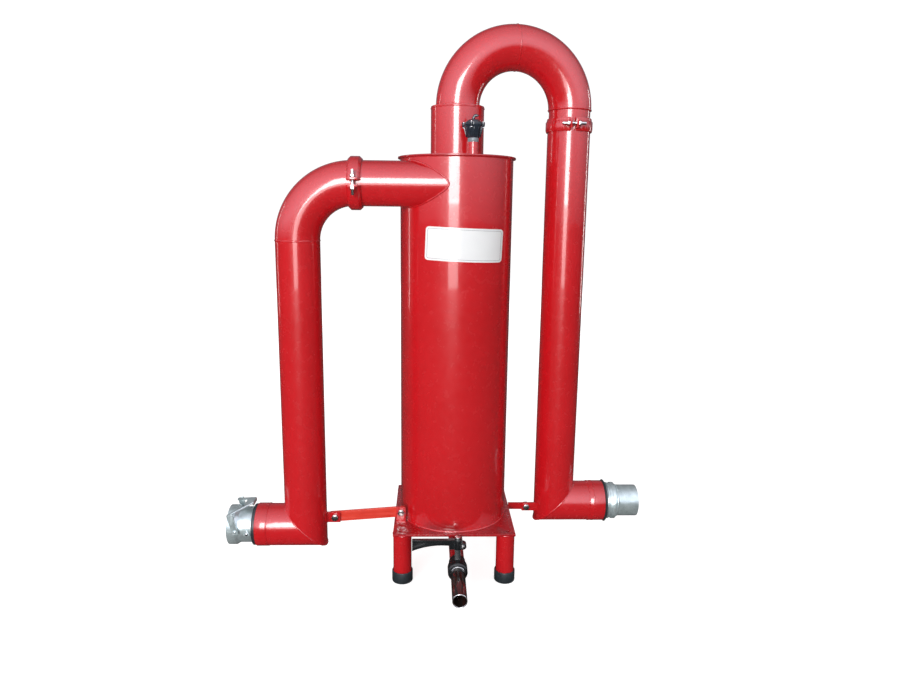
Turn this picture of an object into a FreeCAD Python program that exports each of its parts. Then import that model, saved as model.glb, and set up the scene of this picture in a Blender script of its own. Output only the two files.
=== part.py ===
"""Cyclone sand separator: an upright welded vessel on four legs.

Water enters the side of the vessel near its top through the inlet riser, spins, and leaves
through the lid and the outlet bend. Sand falls to the base and is let out by the drain valve.
"""
import FreeCAD, Part
import math
import os

from FreeCAD import Rotation, Vector

# All sizes are millimetres. While the pieces are modelled the vessel's axis is x = y = 0, the
# ground is z = 0, the front is towards -Y, and the inlet side is towards -X.

# ---- Vessel and stand ----
vessel_od = 300.0
vessel_wall = 4.0
shell_height = 991.0
lid_thickness = 5.0
lid_overhang = 6.5
plate_margin = 16.0             # plate's edge to the shell
plate_thickness = 6.0
stand_height = 139.0            # ground to the underside of the base plate
leg_od = 50.0
leg_wall = 3.0
cap_height = 31.0
cap_wall = 3.4
cap_floor = 5.0
corner_hole_d = 9.0
corner_hole_inset = 19.0        # hole centre to the plate's edges

# ---- Main pipe ----
pipe_od = 114.3
pipe_wall = 3.6
weld_ring_extra = 1.0           # a stub's end ring stands this much proud of its pipe

# ---- Inlet side ----
inlet_cover = 14.85             # top of the lid to the top of the inlet pipe
inlet_inset = 2.0               # the pipe's flank lies this far inside the shell's
inlet_riser_x = 410.0           # vessel axis to riser axis
inlet_bend_radius = 145.0
inlet_bend_tangent = 6.0
inlet_stub_height = 140.5
inlet_stub_length = 101.0       # riser axis to the stub's end
inlet_ring_length = 31.0
gasket_length = 9.0
gasket_step = 1.2               # the gasket's surface lies this far below the pipe's

# ---- Inlet coupling ----
coupling_tube_od = 96.0
coupling_bell_rise = 5.5        # tube's surface to the bell's
coupling_wall = 5.0
coupling_tube_length = 37.0
coupling_cone_length = 9.0
coupling_bell_length = 20.6
coupling_bell_wall = 4.5
coupling_bell_depth = 22.0

# ---- Latch yoke on the coupling's bell ----
yoke_thickness = 4.0
yoke_side_gap = 1.0             # bell to yoke arm
yoke_pin_d = 8.0
yoke_pin_clearance = 0.06
yoke_pin_proud = 2.0            # a pin's end stands this far out of the yoke's arm
yoke_pin_back = 25.0            # bell mouth to the pins
yoke_pin_rise = 4.5             # coupling axis to the pins
yoke_arm_width = 16.0
yoke_corner_x = -19.0           # pins to the arm's corner, along X
yoke_corner_drop = 10.5         # the corner's height over the pins is the bell's radius less this
yoke_crown_x = 44.0             # pins to the crown's far end, along X
yoke_crown_rise = 11.0          # the crown's height over the pins is the bell's radius and this
yoke_crown_width = 34.0
yoke_strip_width = 9.0
yoke_crown_start = 0.60         # share of the way from corner to crown where the web closes
yoke_open_start = -0.25         # the web's opening runs out past the corner, to this share
yoke_lip_gap = 5.35             # the lip ends this far above the pipe's surface

# ---- Outlet side ----
sleeve_od = 139.7
sleeve_wall = 4.0
sleeve_height = 124.0
sleeve_cap_thickness = 5.0
outlet_bend_radius = 152.4
outlet_turn = 6.8               # degrees that the bend's plane is turned back from +X
neck_step = 2.15                # the neck's surface lies this far below the pipe's
neck_length = 40.0              # bend's end to the clamped joint
outlet_stub_height = 152.6
outlet_stub_length = 101.0
outlet_ring_length = 44.0
flare_rise = 4.6                # pipe's surface to the flare's crest
flare_length = 9.0
flare_crest = 5.0               # start of the flare to its crest
flare_end_od = 106.0
spigot_od = 91.0
spigot_bore = 82.0
spigot_shoulder_od = 101.0
spigot_shoulder_length = 17.0
spigot_rib_od = 107.0
spigot_rib_length = 10.0
spigot_length = 66.0

# ---- Pipe clamps ----
clamp_cover = 4.0               # flange's rim to the band's outside
clamp_width = 35.0
clamp_wall = 3.0
clamp_bevel = 6.5
clamp_split = 12.0
inlet_flange_rise = 5.85        # pipe's surface to the flanges' rim
outlet_flange_rise = 1.35
flange_thickness = 5.0
rim_clearance = 0.8
lug_width = 24.0
lug_length = 15.0
lug_thickness = 5.0
clamp_bolt_d = 8.0
clamp_bolt_length = 62.0
clamp_bolt_lift = 1.0           # the lug's middle to the bolt, away from the band
clamp_nut_d = 13.0
clamp_nut_height = 7.0

# ---- Braces ----
brace_thickness = 5.0
brace_bolt_d = 10.0
bolt_head_d = 17.0
bolt_head_height = 7.0
bar_end = 12.0                  # bolt's centre to the bar's end
left_tab_width = 26.0
left_tab_height = 45.0
left_bolt_inset = 19.0          # plate's edge to the bolt
left_bolt_rise = 29.0           # plate's top to the bolt
left_bar_height = 30.0
left_pipe_bolt = 22.0           # pipe's surface to the bolt
left_pipe_bolt_height = 160.0
right_bar_y = 18.0              # vessel axis to the bar's front face, towards +Y
right_bar_height = 20.0
right_pipe_bolt = 27.0
right_pipe_bolt_height = 142.0
right_tab_height = 25.0

# ---- Drain ----
drain_offset = 8.5              # vessel axis to the drain's axis, towards +X
drain_height = 60.0
drain_od = 38.0
drain_wall = 3.0
drain_pipe_extra = 1.0          # the pipe's surface stands this much proud of the spout's
drain_bend_radius = 45.0
spout_thread_step = 1.0         # the spout's end in the valve is this much thinner all round
valve_length = 58.0
valve_belly_wall = 7.4
valve_belly_share = 0.45        # share of the body's length where the belly is full
valve_rear_wall = 2.5
valve_chamfer = 3.0
valve_nose = 30.0               # stem to the valve's front face
valve_socket = 14.0
stem_gap = 19.0                 # plate's front edge to the stem
stem_d = 10.0
stem_clearance = 0.06
stem_depth = 16.0
neck_width = 15.0
valve_neck_height = 54.0        # drain axis to the neck's top
spout_length = 129.4            # valve's front face to the spout's mouth
lever_gap = 0.3
lever_height = 27.0
lever_thickness = 11.0
lever_reach = 122.0
lever_hub_left = 22.0
lever_hub_right = 12.5
lever_hub_d = 21.0
lever_boss_offset = 14.0
lever_boss_d = 18.0
lever_boss_length = 18.0
lever_boss_rise = 10.6          # the hub's underside to the boss's middle
lever_bar_height = 9.0
lever_bar_rise = 11.2           # the hub's underside to the lower bar's, where it starts
lever_middle_drop = 1.1         # how far the lower bar has sunk at its middle
lever_end_drop = 15.0           # and at its end
lever_web = 4.0
lever_nut_d = 15.0
lever_nut_height = 8.0
pinch_head_d = 10.0
pinch_head_height = 4.0

# ---- Air valve on the lid ----
air_x = 36.0
air_edge = 45.0                 # shell's front to the air valve's axis
air_nipple_od = 27.5
air_nipple_wall = 3.0
air_nipple_height = 31.0
air_collar_od = 28.0
air_collar_height = 10.0
air_body_height = 34.5
air_shoulder_rise = 3.0
air_shoulder_step = 2.0
air_body_top_d = 45.0
air_flange_d = 47.0
air_flange_height = 7.0
air_ear_d = 9.0
air_ear_turn = -15.0            # degrees from +X to the first ear
air_cap_d = 44.0
air_cap_rim = 3.0
air_cap_height = 9.5
air_cap_shoulder = 0.75         # share of the cap's radius at its shoulder
air_cap_shoulder_rise = 0.7     # and the share of its height
air_cap_top = 0.3               # share of the cap's radius at its top
air_nozzle_d = 9.0
air_nozzle_height = 11.0

# ---- Places worked out from the sizes ----
plate_size = vessel_od + 2 * plate_margin
plate_top = stand_height + plate_thickness
lid_top = plate_top + shell_height + lid_thickness
inlet_height = lid_top - inlet_cover - pipe_od / 2
inlet_y = -(vessel_od / 2 - pipe_od / 2 - inlet_inset)
leg_offset = plate_size / 2 - leg_od / 2
inlet_joint_x = -inlet_riser_x + inlet_bend_radius + inlet_bend_tangent
inlet_ring_x = -inlet_riser_x - inlet_stub_length
gasket_x = inlet_ring_x - inlet_ring_length
coupling_x = gasket_x - gasket_length
coupling_length = coupling_tube_length + coupling_cone_length + coupling_bell_length
mouth_x = coupling_x - coupling_length
coupling_bore = coupling_tube_od - 2 * coupling_wall
coupling_bell_od = coupling_tube_od + 2 * coupling_bell_rise
coupling_bell_bore = coupling_bell_od - 2 * coupling_bell_wall
inlet_flange_od = pipe_od + 2 * inlet_flange_rise
outlet_flange_od = pipe_od + 2 * outlet_flange_rise
sleeve_top = lid_top + sleeve_height + sleeve_cap_thickness
turn = math.radians(outlet_turn)
outlet_x = 2 * outlet_bend_radius * math.cos(turn)
outlet_y = 2 * outlet_bend_radius * math.sin(turn)
outlet_joint_z = sleeve_top - neck_length
neck_od = pipe_od - 2 * neck_step
flare_od = pipe_od + 2 * flare_rise
outlet_ring_x = outlet_x + outlet_stub_length
flare_x = outlet_ring_x + outlet_ring_length
spigot_x = flare_x + flare_length
spigot_end = spigot_x + spigot_shoulder_length + spigot_rib_length + spigot_length

stem_front = plate_size / 2 + stem_gap
valve_front = stem_front + valve_nose
spout_reach = valve_front + spout_length
drain_bore = drain_od - 2 * drain_wall
drain_pipe_od = drain_od + 2 * drain_pipe_extra
spout_thread_od = drain_od - 2 * spout_thread_step
valve_od = drain_od + 2 * valve_belly_wall
valve_rear_od = drain_pipe_od + 2 * valve_rear_wall
air_front = vessel_od / 2 - air_edge

# The row's origin is on the ground, under the middle of the whole assembly.
back_reach = plate_size / 2 + cap_wall
to_row = Vector((-mouth_x - spigot_end) / 2, (spout_reach - back_reach) / 2, 0)

right = Vector(1, 0, 0)
left = Vector(-1, 0, 0)
back = Vector(0, 1, 0)
front = Vector(0, -1, 0)
up = Vector(0, 0, 1)
down = Vector(0, 0, -1)


# ---- Shared shapes ----
def rod(diameter, length, base, direction):
    """A solid round bar from its base point along a direction."""
    return Part.makeCylinder(diameter / 2, length, base, direction)


def tube(diameter, wall, length, base, direction):
    """A round tube, open at both ends."""
    return rod(diameter, length, base, direction).cut(
        rod(diameter - 2 * wall, length, base, direction))


def block(low, high):
    """A box between two corners."""
    size = high - low
    return Part.makeBox(size.x, size.y, size.z, low)


def prism(points, direction):
    """A straight-sided plate: a closed outline pushed along a direction."""
    face = Part.Face(Part.makePolygon(points + [points[0]]))
    return face.extrude(direction)


def turned(profile, base, direction):
    """A turned piece: (distance along the axis, radius) pairs spun round the axis."""
    outline = [Vector(r, 0, a) for a, r in profile]
    face = Part.Face(Part.makePolygon(outline + [outline[0]]))
    shape = face.revolve(Vector(0, 0, 0), up, 360)
    shape.Placement = FreeCAD.Placement(base, Rotation(up, direction))
    return shape


def quarter_bend(radius, start, heading, turn_to):
    """A quarter of a ring of pipe that starts at a point with one heading and ends with another."""
    centre = start + turn_to * radius
    axis = heading.cross(turn_to)
    outer = Part.Face(Part.Wire(Part.makeCircle(pipe_od / 2, start, heading)))
    inner = Part.Face(Part.Wire(Part.makeCircle(pipe_od / 2 - pipe_wall, start, heading)))
    return outer.cut(inner).revolve(centre, axis, 90)


def keep_side(shape, point, direction):
    """The part of a shape that lies on the side of a plane that the direction points to."""
    size = 4 * shape.BoundBox.DiagonalLength
    waste = Part.makeBox(size, size, size, Vector(-size / 2, -size / 2, 0))
    waste.Placement = FreeCAD.Placement(point, Rotation(up, -direction))
    return shape.cut(waste)


def hex_bolt(centre, grip, direction):
    """A bolt through a stack of plates: a head on one side and a nut on the other."""
    head = hexagon(bolt_head_d, bolt_head_height, centre - direction * (grip / 2), -direction)
    nut = hexagon(bolt_head_d, bolt_head_height, centre + direction * (grip / 2), direction)
    shank = rod(brace_bolt_d, grip, centre - direction * (grip / 2), direction)
    return head.fuse([shank, nut])


def hexagon(across_flats, height, base, direction):
    """A six-sided nut or bolt head that stands on its base point."""
    radius = across_flats / math.sqrt(3)
    corners = [Vector(radius * math.cos(math.radians(60 * i)),
                      radius * math.sin(math.radians(60 * i)), 0) for i in range(6)]
    shape = prism(corners, up * height)
    shape.Placement = FreeCAD.Placement(base, Rotation(up, direction))
    return shape


# ---- Vessel and stand ----
def make_base_plate():
    half = plate_size / 2
    plate = block(Vector(-half, -half, stand_height), Vector(half, half, plate_top))
    hole = half - corner_hole_inset
    for sx in (-1, 1):
        for sy in (-1, 1):
            centre = Vector(sx * hole, sy * hole, stand_height)
            plate = plate.cut(rod(corner_hole_d, plate_thickness, centre, up))
    drain = Vector(drain_offset, 0, stand_height)
    return plate.cut(rod(drain_bore, plate_thickness, drain, up))


def make_leg(sx, sy):
    base = Vector(sx * leg_offset, sy * leg_offset, cap_floor)
    return tube(leg_od, leg_wall, stand_height - cap_floor, base, up)


def make_foot_cap(sx, sy):
    base = Vector(sx * leg_offset, sy * leg_offset, 0)
    cup = rod(leg_od + 2 * cap_wall, cap_height, base, up)
    return cup.cut(rod(leg_od, cap_height, base + up * cap_floor, up))


def inlet_bore(length):
    start = Vector(-length, inlet_y, inlet_height)
    return rod(pipe_od - 2 * pipe_wall, length, start, right)


def make_vessel_shell():
    shell = tube(vessel_od, vessel_wall, shell_height, Vector(0, 0, plate_top), up)
    return shell.cut(inlet_bore(vessel_od))


def air_valve_point(height):
    return Vector(air_x, -air_front, lid_top + height)


def make_vessel_lid():
    base = Vector(0, 0, lid_top - lid_thickness)
    lid = rod(vessel_od + 2 * lid_overhang, lid_thickness, base, up)
    lid = lid.cut(rod(sleeve_od - 2 * sleeve_wall, lid_thickness, base, up))
    vent = air_nipple_od - 2 * air_nipple_wall
    return lid.cut(rod(vent, lid_thickness, air_valve_point(-lid_thickness), up))


# ---- Clamped joints ----
def flange(rim_od, inside_od, joint, direction):
    """The ring on a pipe's end that a clamp grips."""
    wall = (rim_od - inside_od) / 2 + pipe_wall
    return tube(rim_od, wall, flange_thickness, joint, direction)


def clamp_band(joint, axis, opening, flange_od):
    """A pressed channel band round the two flanges, split where its lugs stand."""
    half = clamp_width / 2
    rim = pipe_od / 2 + rim_clearance
    flat = half - clamp_bevel
    top = flange_od / 2 + clamp_cover
    inner_rim = half - clamp_wall
    band = turned([(-half, rim), (-half, rim + clamp_wall), (-flat, top), (flat, top),
                   (half, rim + clamp_wall), (half, rim), (inner_rim, rim),
                   (flat - clamp_wall / 2, top - clamp_wall),
                   (clamp_wall / 2 - flat, top - clamp_wall), (-inner_rim, rim)], joint, axis)
    across = axis.cross(opening)
    reach = opening * (top + lug_length)
    lug_foot = opening * (top - clamp_wall)
    for side in (-1, 1):
        near = across * (side * clamp_split / 2)
        far = across * (side * (clamp_split / 2 + lug_thickness))
        width = axis * (lug_width / 2)
        outline = [joint + lug_foot + near - width, joint + lug_foot + far - width,
                   joint + reach + far - width, joint + reach + near - width]
        band = band.fuse(prism(outline, axis * lug_width))
    gap_low = joint + across * (-clamp_split / 2) - axis * clamp_width
    outline = [gap_low, gap_low + across * clamp_split,
               gap_low + across * clamp_split + opening * flange_od,
               gap_low + opening * flange_od]
    band = band.cut(prism(outline, axis * (2 * clamp_width)))
    hole = bolt_line(joint, axis, opening, flange_od)
    return band.cut(rod(clamp_bolt_d, clamp_bolt_length, hole, across))


def bolt_line(joint, axis, opening, flange_od):
    """The start of a clamp bolt's centre line, outside the band and across its split."""
    across = axis.cross(opening)
    reach = flange_od / 2 + clamp_cover + lug_length / 2 + clamp_bolt_lift
    return joint + opening * reach - across * (clamp_bolt_length / 2)


def clamp_bolt(joint, axis, opening, flange_od):
    """The threaded bolt through both lugs, with a nut at each outer face."""
    across = axis.cross(opening)
    start = bolt_line(joint, axis, opening, flange_od)
    outer = clamp_bolt_length / 2 - clamp_split / 2 - lug_thickness
    bolt = rod(clamp_bolt_d, clamp_bolt_length, start, across)
    near_nut = start + across * (outer - clamp_nut_height)
    far_nut = start + across * (clamp_bolt_length - outer)
    for foot in (near_nut, far_nut):
        bolt = bolt.fuse(hexagon(clamp_nut_d, clamp_nut_height, foot, across))
    return bolt


# ---- Inlet side ----
inlet_joint = Vector(inlet_joint_x, inlet_y, inlet_height)
inlet_corner = Vector(-inlet_riser_x, inlet_y, inlet_stub_height)


def make_inlet_pipe():
    pipe = tube(pipe_od, pipe_wall, -inlet_joint_x, inlet_joint, right)
    vessel = rod(vessel_od, shell_height, Vector(0, 0, plate_top), up)
    return pipe.cut(vessel).fuse(flange(inlet_flange_od, pipe_od, inlet_joint, right))


def make_inlet_elbow():
    pipe = tube(pipe_od, pipe_wall, inlet_bend_tangent, inlet_joint, left)
    start = inlet_joint + left * inlet_bend_tangent
    bend = quarter_bend(inlet_bend_radius, start, left, down)
    return pipe.fuse([bend, flange(inlet_flange_od, pipe_od, inlet_joint, left)])


def riser_and_stub(corner, top, stub_length, heading):
    """A riser and its side stub, joined on a 45 degree mitre."""
    overrun = pipe_od
    low = corner + down * overrun
    riser = tube(pipe_od, pipe_wall, top - low.z, low, up)
    stub = tube(pipe_od, pipe_wall, stub_length + overrun, corner - heading * overrun, heading)
    mitre = up - heading
    mitre.normalize()
    return keep_side(riser, corner, mitre), keep_side(stub, corner, -mitre)


def end_ring(start_x, length, y, z, heading):
    extra = weld_ring_extra
    return tube(pipe_od + 2 * extra, pipe_wall + extra, length, Vector(start_x, y, z), heading)


def make_inlet_gasket():
    base = Vector(gasket_x, inlet_y, inlet_stub_height)
    outer = pipe_od - 2 * gasket_step
    return tube(outer, (outer - coupling_bore) / 2, gasket_length, base, left)


def make_inlet_coupling():
    tube_r = coupling_tube_od / 2
    bell_r = coupling_bell_od / 2
    bore_r = coupling_bore / 2
    cone_end = coupling_tube_length + coupling_cone_length
    socket = coupling_length - coupling_bell_depth
    base = Vector(coupling_x, inlet_y, inlet_stub_height)
    body = turned([(0, bore_r), (0, tube_r), (coupling_tube_length, tube_r), (cone_end, bell_r),
                   (coupling_length, bell_r), (coupling_length, coupling_bell_bore / 2),
                   (socket, coupling_bell_bore / 2), (socket, bore_r)], base, left)
    reach = bell_r + yoke_side_gap + yoke_thickness + yoke_pin_proud
    for side in (-1, 1):
        pin_root = yoke_pins + back * (side * coupling_bell_bore / 2)
        pin = rod(yoke_pin_d, reach - coupling_bell_bore / 2, pin_root, back * side)
        body = body.fuse(keep_outside_socket(pin))
    return body


def keep_outside_socket(pin):
    """A yoke pin stops at the bell's wall, so that the socket stays clear."""
    start = Vector(mouth_x, inlet_y, inlet_stub_height)
    return pin.cut(rod(coupling_bell_bore, coupling_length, start, right))


yoke_pins = Vector(mouth_x + yoke_pin_back, inlet_y, inlet_stub_height + yoke_pin_rise)


def yoke_point(along, rise, across):
    """A point of the yoke, from its pin line: along X, up, and along Y."""
    return yoke_pins + Vector(along, across, rise)


def make_latch_yoke():
    inside = coupling_bell_od / 2 + yoke_side_gap
    outside = inside + yoke_thickness
    bell_r = coupling_bell_od / 2
    corner_x, corner_z = yoke_corner_x, bell_r - yoke_corner_drop
    crown_x, crown_z = yoke_crown_x, bell_r + yoke_crown_rise
    slope = Vector(crown_x - corner_x, 0, crown_z - corner_z)
    slope.normalize()
    normal = Vector(-slope.z, 0, slope.x) * yoke_thickness
    half = yoke_arm_width / 2

    def web_outline(shares, half_widths):
        """A closed outline in the web's plane, mirrored about the coupling's middle."""
        run = []
        for share, width in zip(shares, half_widths):
            x = corner_x + share * (crown_x - corner_x)
            z = corner_z + share * (crown_z - corner_z)
            run.append((x, z, width))
        near = [yoke_point(x, z, -w) for x, z, w in run]
        far = [yoke_point(x, z, w) for x, z, w in reversed(run)]
        return near + far

    crown_half = yoke_crown_width / 2
    taper = outside - crown_half
    web = prism(web_outline([0, 1], [outside, crown_half]), normal)
    closed = yoke_crown_start
    start = yoke_open_start
    cut = web_outline([start, closed],
                      [outside - start * taper - yoke_strip_width,
                       outside - closed * taper - yoke_strip_width])
    web = web.cut(prism([p - normal for p in cut], normal * 3))
    lip_top = yoke_point(crown_x, crown_z, -crown_half)
    lip_drop = down * (crown_z + yoke_pin_rise - pipe_od / 2 - yoke_lip_gap)
    outline = [lip_top, lip_top + lip_drop,
               lip_top + lip_drop + left * yoke_thickness, lip_top + left * yoke_thickness]
    yoke = web.fuse(prism(outline, back * yoke_crown_width))
    for side in (-1, 1):
        edge = side * inside
        corner = yoke_point(corner_x, corner_z, edge) + normal
        heel = corner + slope * yoke_arm_width
        along = yoke_point(0, 0, edge) - (corner + heel) * 0.5
        along.normalize()
        square = Vector(-along.z, 0, along.x) * half
        foot = yoke_point(0, 0, edge) + along * half
        arm = [foot + square, foot - square, corner, heel]
        yoke = yoke.fuse(prism(arm, back * (side * yoke_thickness)))
    hole_d = yoke_pin_d + 2 * yoke_pin_clearance
    return yoke.cut(rod(hole_d, 4 * outside, yoke_point(0, 0, -2 * outside), back))


# ---- Outlet side ----
outlet_joint = Vector(outlet_x, outlet_y, outlet_joint_z)
outlet_corner = Vector(outlet_x, outlet_y, outlet_stub_height)
bend_heading = Vector(math.cos(turn), math.sin(turn), 0)


def make_outlet_sleeve():
    return tube(sleeve_od, sleeve_wall, sleeve_height, Vector(0, 0, lid_top), up)


def make_outlet_sleeve_cap():
    ring_wall = sleeve_od / 2 - pipe_od / 2 + pipe_wall
    base = Vector(0, 0, sleeve_top - sleeve_cap_thickness)
    return tube(sleeve_od, ring_wall, sleeve_cap_thickness, base, up)


def make_outlet_bend_rise():
    return quarter_bend(outlet_bend_radius, Vector(0, 0, sleeve_top), up, bend_heading)


def make_outlet_bend_fall():
    crown = bend_heading * outlet_bend_radius + up * (sleeve_top + outlet_bend_radius)
    return quarter_bend(outlet_bend_radius, crown, bend_heading, down)


def make_outlet_neck():
    neck = tube(neck_od, pipe_wall, neck_length, outlet_joint, up)
    return neck.fuse(flange(outlet_flange_od, neck_od, outlet_joint, up))


def make_outlet_flare():
    """A rubber skirt: it rises from the pipe's end to a crest and falls back to the spigot."""
    bore = spigot_bore / 2
    return turned([(0, bore), (0, pipe_od / 2), (flare_crest, flare_od / 2),
                   (flare_length, flare_end_od / 2), (flare_length, bore)],
                  Vector(flare_x, outlet_y, outlet_stub_height), right)


def make_outlet_spigot():
    bore = spigot_bore / 2
    shoulder = spigot_shoulder_length
    rib = shoulder + spigot_rib_length
    end = rib + spigot_length
    return turned([(0, bore), (0, spigot_shoulder_od / 2), (shoulder, spigot_shoulder_od / 2),
                   (shoulder, spigot_rib_od / 2), (rib, spigot_rib_od / 2),
                   (rib, spigot_od / 2), (end, spigot_od / 2), (end, bore)],
                  Vector(spigot_x, outlet_y, outlet_stub_height), right)


# ---- Braces ----
half_plate = plate_size / 2
left_plate_bolt = Vector(-half_plate + left_bolt_inset, inlet_y, plate_top + left_bolt_rise)
left_riser_bolt = Vector(-inlet_riser_x + pipe_od / 2 + left_pipe_bolt, inlet_y,
                         left_pipe_bolt_height)
right_riser_bolt = Vector(outlet_x - pipe_od / 2 - right_pipe_bolt, right_bar_y,
                          right_pipe_bolt_height)


def flat_bar(start, end, height, front_y):
    """A flat bar on edge that runs a little past two bolts, its front face at a given y."""
    direction = Vector(end.x - start.x, 0, end.z - start.z)
    direction.normalize()
    side = Vector(-direction.z, 0, direction.x) * (height / 2)
    a = Vector(start.x, front_y, start.z) - direction * bar_end
    b = Vector(end.x, front_y, end.z) + direction * bar_end
    return prism([a - side, b - side, b + side, a + side], back * brace_thickness)


def bolt_hole(point):
    return rod(brace_bolt_d, 6 * brace_thickness, point + front * (3 * brace_thickness), back)


def riser_cylinder(corner):
    return rod(pipe_od, lid_top, Vector(corner.x, corner.y, 0), up)


def make_inlet_brace_plate_tab():
    x = left_plate_bolt.x
    low = Vector(x - left_tab_width / 2, inlet_y, plate_top)
    high = Vector(x + left_tab_width / 2, inlet_y + brace_thickness,
                  plate_top + left_tab_height)
    return block(low, high).cut(bolt_hole(left_plate_bolt))


def make_inlet_brace_pipe_tab():
    half = left_bar_height / 2
    low = Vector(-inlet_riser_x, inlet_y, left_riser_bolt.z - half)
    high = Vector(left_riser_bolt.x + half, inlet_y + brace_thickness,
                  left_riser_bolt.z + half)
    return block(low, high).cut([riser_cylinder(inlet_corner), bolt_hole(left_riser_bolt)])


def make_inlet_brace_bar():
    bar = flat_bar(left_riser_bolt, left_plate_bolt, left_bar_height,
                   inlet_y + brace_thickness)
    return bar.cut([bolt_hole(left_riser_bolt), bolt_hole(left_plate_bolt)])


def make_outlet_brace_pipe_tab():
    half = right_tab_height / 2
    low = Vector(right_riser_bolt.x - half, right_bar_y - brace_thickness,
                 right_riser_bolt.z - half)
    high = Vector(outlet_x, right_bar_y, right_riser_bolt.z + half)
    return block(low, high).cut([riser_cylinder(outlet_corner), bolt_hole(right_riser_bolt)])


def make_outlet_brace_bar():
    """A level bar; its near end is welded to the edge of the base plate."""
    half = right_bar_height / 2
    low = Vector(half_plate, right_bar_y, right_riser_bolt.z - half)
    high = Vector(right_riser_bolt.x + bar_end, right_bar_y + brace_thickness,
                  right_riser_bolt.z + half)
    return block(low, high).cut(bolt_hole(right_riser_bolt))


def make_brace_bolts():
    stack = 2 * brace_thickness
    left_middle = brace_thickness
    bolts = [hex_bolt(left_plate_bolt + back * left_middle, stack, back),
             hex_bolt(left_riser_bolt + back * left_middle, stack, back),
             hex_bolt(right_riser_bolt, stack, back)]
    return Part.makeCompound(bolts)


# ---- Drain ----
valve_face = Vector(drain_offset, -valve_front, drain_height)
stem_foot = Vector(drain_offset, -stem_front, drain_height + valve_neck_height)


def make_drain_pipe():
    bend_top = Vector(drain_offset, 0, drain_height + drain_bend_radius)
    wall = drain_wall + drain_pipe_extra
    drop = tube(drain_pipe_od, wall, stand_height - bend_top.z, bend_top, up)
    ring = Part.Face(Part.Wire(Part.makeCircle(drain_pipe_od / 2, bend_top, down)))
    ring = ring.cut(Part.Face(Part.Wire(Part.makeCircle(drain_bore / 2, bend_top, down))))
    bend = ring.revolve(bend_top + front * drain_bend_radius, down.cross(front), 90)
    run_start = Vector(drain_offset, -drain_bend_radius, drain_height)
    run = valve_front - valve_length + valve_socket - drain_bend_radius
    return drop.fuse([bend, tube(drain_pipe_od, wall, run, run_start, front)])


def make_drain_valve_body():
    bore = drain_bore / 2
    thread = spout_thread_od / 2
    socket = drain_pipe_od / 2
    rear = valve_rear_od / 2
    belly = valve_od / 2
    end = valve_length
    body = turned([(0, socket), (0, rear), (valve_socket, rear), (end * valve_belly_share, belly),
                   (end - valve_chamfer, belly), (end, belly - valve_chamfer), (end, thread),
                   (end - valve_socket, thread), (end - valve_socket, bore),
                   (valve_socket, bore), (valve_socket, socket)],
                  valve_face + back * valve_length, front)
    half = neck_width / 2
    neck = block(Vector(drain_offset - half, -stem_front - half, drain_height + socket),
                 stem_foot + Vector(half, half, 0))
    body = body.fuse(neck)
    return body.cut(rod(stem_d + 2 * stem_clearance, stem_depth + lever_gap,
                        stem_foot + down * (stem_depth + lever_gap), up))


def make_drain_spout():
    """A plain tube with a thinner threaded end that is screwed into the valve."""
    start = valve_face + back * valve_socket
    threaded = tube(spout_thread_od, drain_wall - spout_thread_step, valve_socket, start, front)
    return threaded.fuse(tube(drain_od, drain_wall, spout_length, valve_face, front))


def lever_box(low_x, high_x, low_z, high_z, thickness):
    """A block of the lever, from the stem: along X, and up from the hub's underside."""
    base = Vector(drain_offset, -stem_front, stem_foot.z + lever_gap)
    return block(base + Vector(low_x, -thickness / 2, low_z),
                 base + Vector(high_x, thickness / 2, high_z))


def make_drain_lever():
    """A cast lever: a hub over the stem, a straight upper bar and a drooping lower bar."""
    base = Vector(drain_offset, -stem_front, stem_foot.z + lever_gap)
    top = lever_height
    lever = lever_box(-lever_hub_left, lever_hub_right, 0, top, lever_thickness)
    lever = lever.fuse(rod(lever_hub_d, lever_height, base, up))
    upper = lever_box(-lever_reach, -lever_hub_left, top - lever_bar_height, top, lever_thickness)
    lower = lower_lever_plate(base, lever_bar_height, lever_thickness)
    web = lower_lever_plate(base, lever_height - lever_bar_rise, lever_web)
    boss_start = base + Vector(lever_boss_offset, -lever_boss_length / 2, lever_boss_rise)
    boss = rod(lever_boss_d, lever_boss_length, boss_start, back)
    stem = rod(stem_d, stem_depth, base + down * stem_depth, up)
    return lever.fuse([upper, lower, web, boss, stem])


def lower_lever_plate(base, height, thickness):
    """A plate whose lower edge leaves the hub nearly level and droops along an arc.

    Its upper edge starts level with the height and is straight where it meets the upper bar."""
    start_x = -lever_hub_left
    end_x = -lever_reach
    middle_x = (start_x + end_x) / 2
    corner = base + Vector(0, -thickness / 2, lever_bar_rise)

    def edge(rise, end_rise):
        return Part.Arc(corner + Vector(start_x, 0, rise),
                        corner + Vector(middle_x, 0, rise - lever_middle_drop),
                        corner + Vector(end_x, 0, end_rise - lever_end_drop)).toShape()

    bottom = edge(0, 0)
    if thickness == lever_thickness:
        top = edge(height, height)
    else:
        top = Part.makeLine(corner + Vector(start_x, 0, height), corner + Vector(end_x, 0, height))
    ends = [Part.makeLine(bottom.Vertexes[i].Point, top.Vertexes[i].Point) for i in (0, 1)]
    wire = Part.Wire(Part.__sortEdges__([bottom, top] + ends))
    return Part.Face(wire).extrude(back * thickness)


def make_drain_lever_bolts():
    base = Vector(drain_offset, -stem_front, stem_foot.z + lever_gap)
    stem_nut = hexagon(lever_nut_d, lever_nut_height, base + up * lever_height, up)
    face = base + Vector(lever_boss_offset, -lever_boss_length / 2, lever_boss_rise)
    pinch = hexagon(pinch_head_d, pinch_head_height, face, front)
    return Part.makeCompound([stem_nut, pinch])


# ---- Air valve ----
def make_air_valve_nipple():
    return tube(air_nipple_od, air_nipple_wall, air_nipple_height, air_valve_point(0), up)


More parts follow.
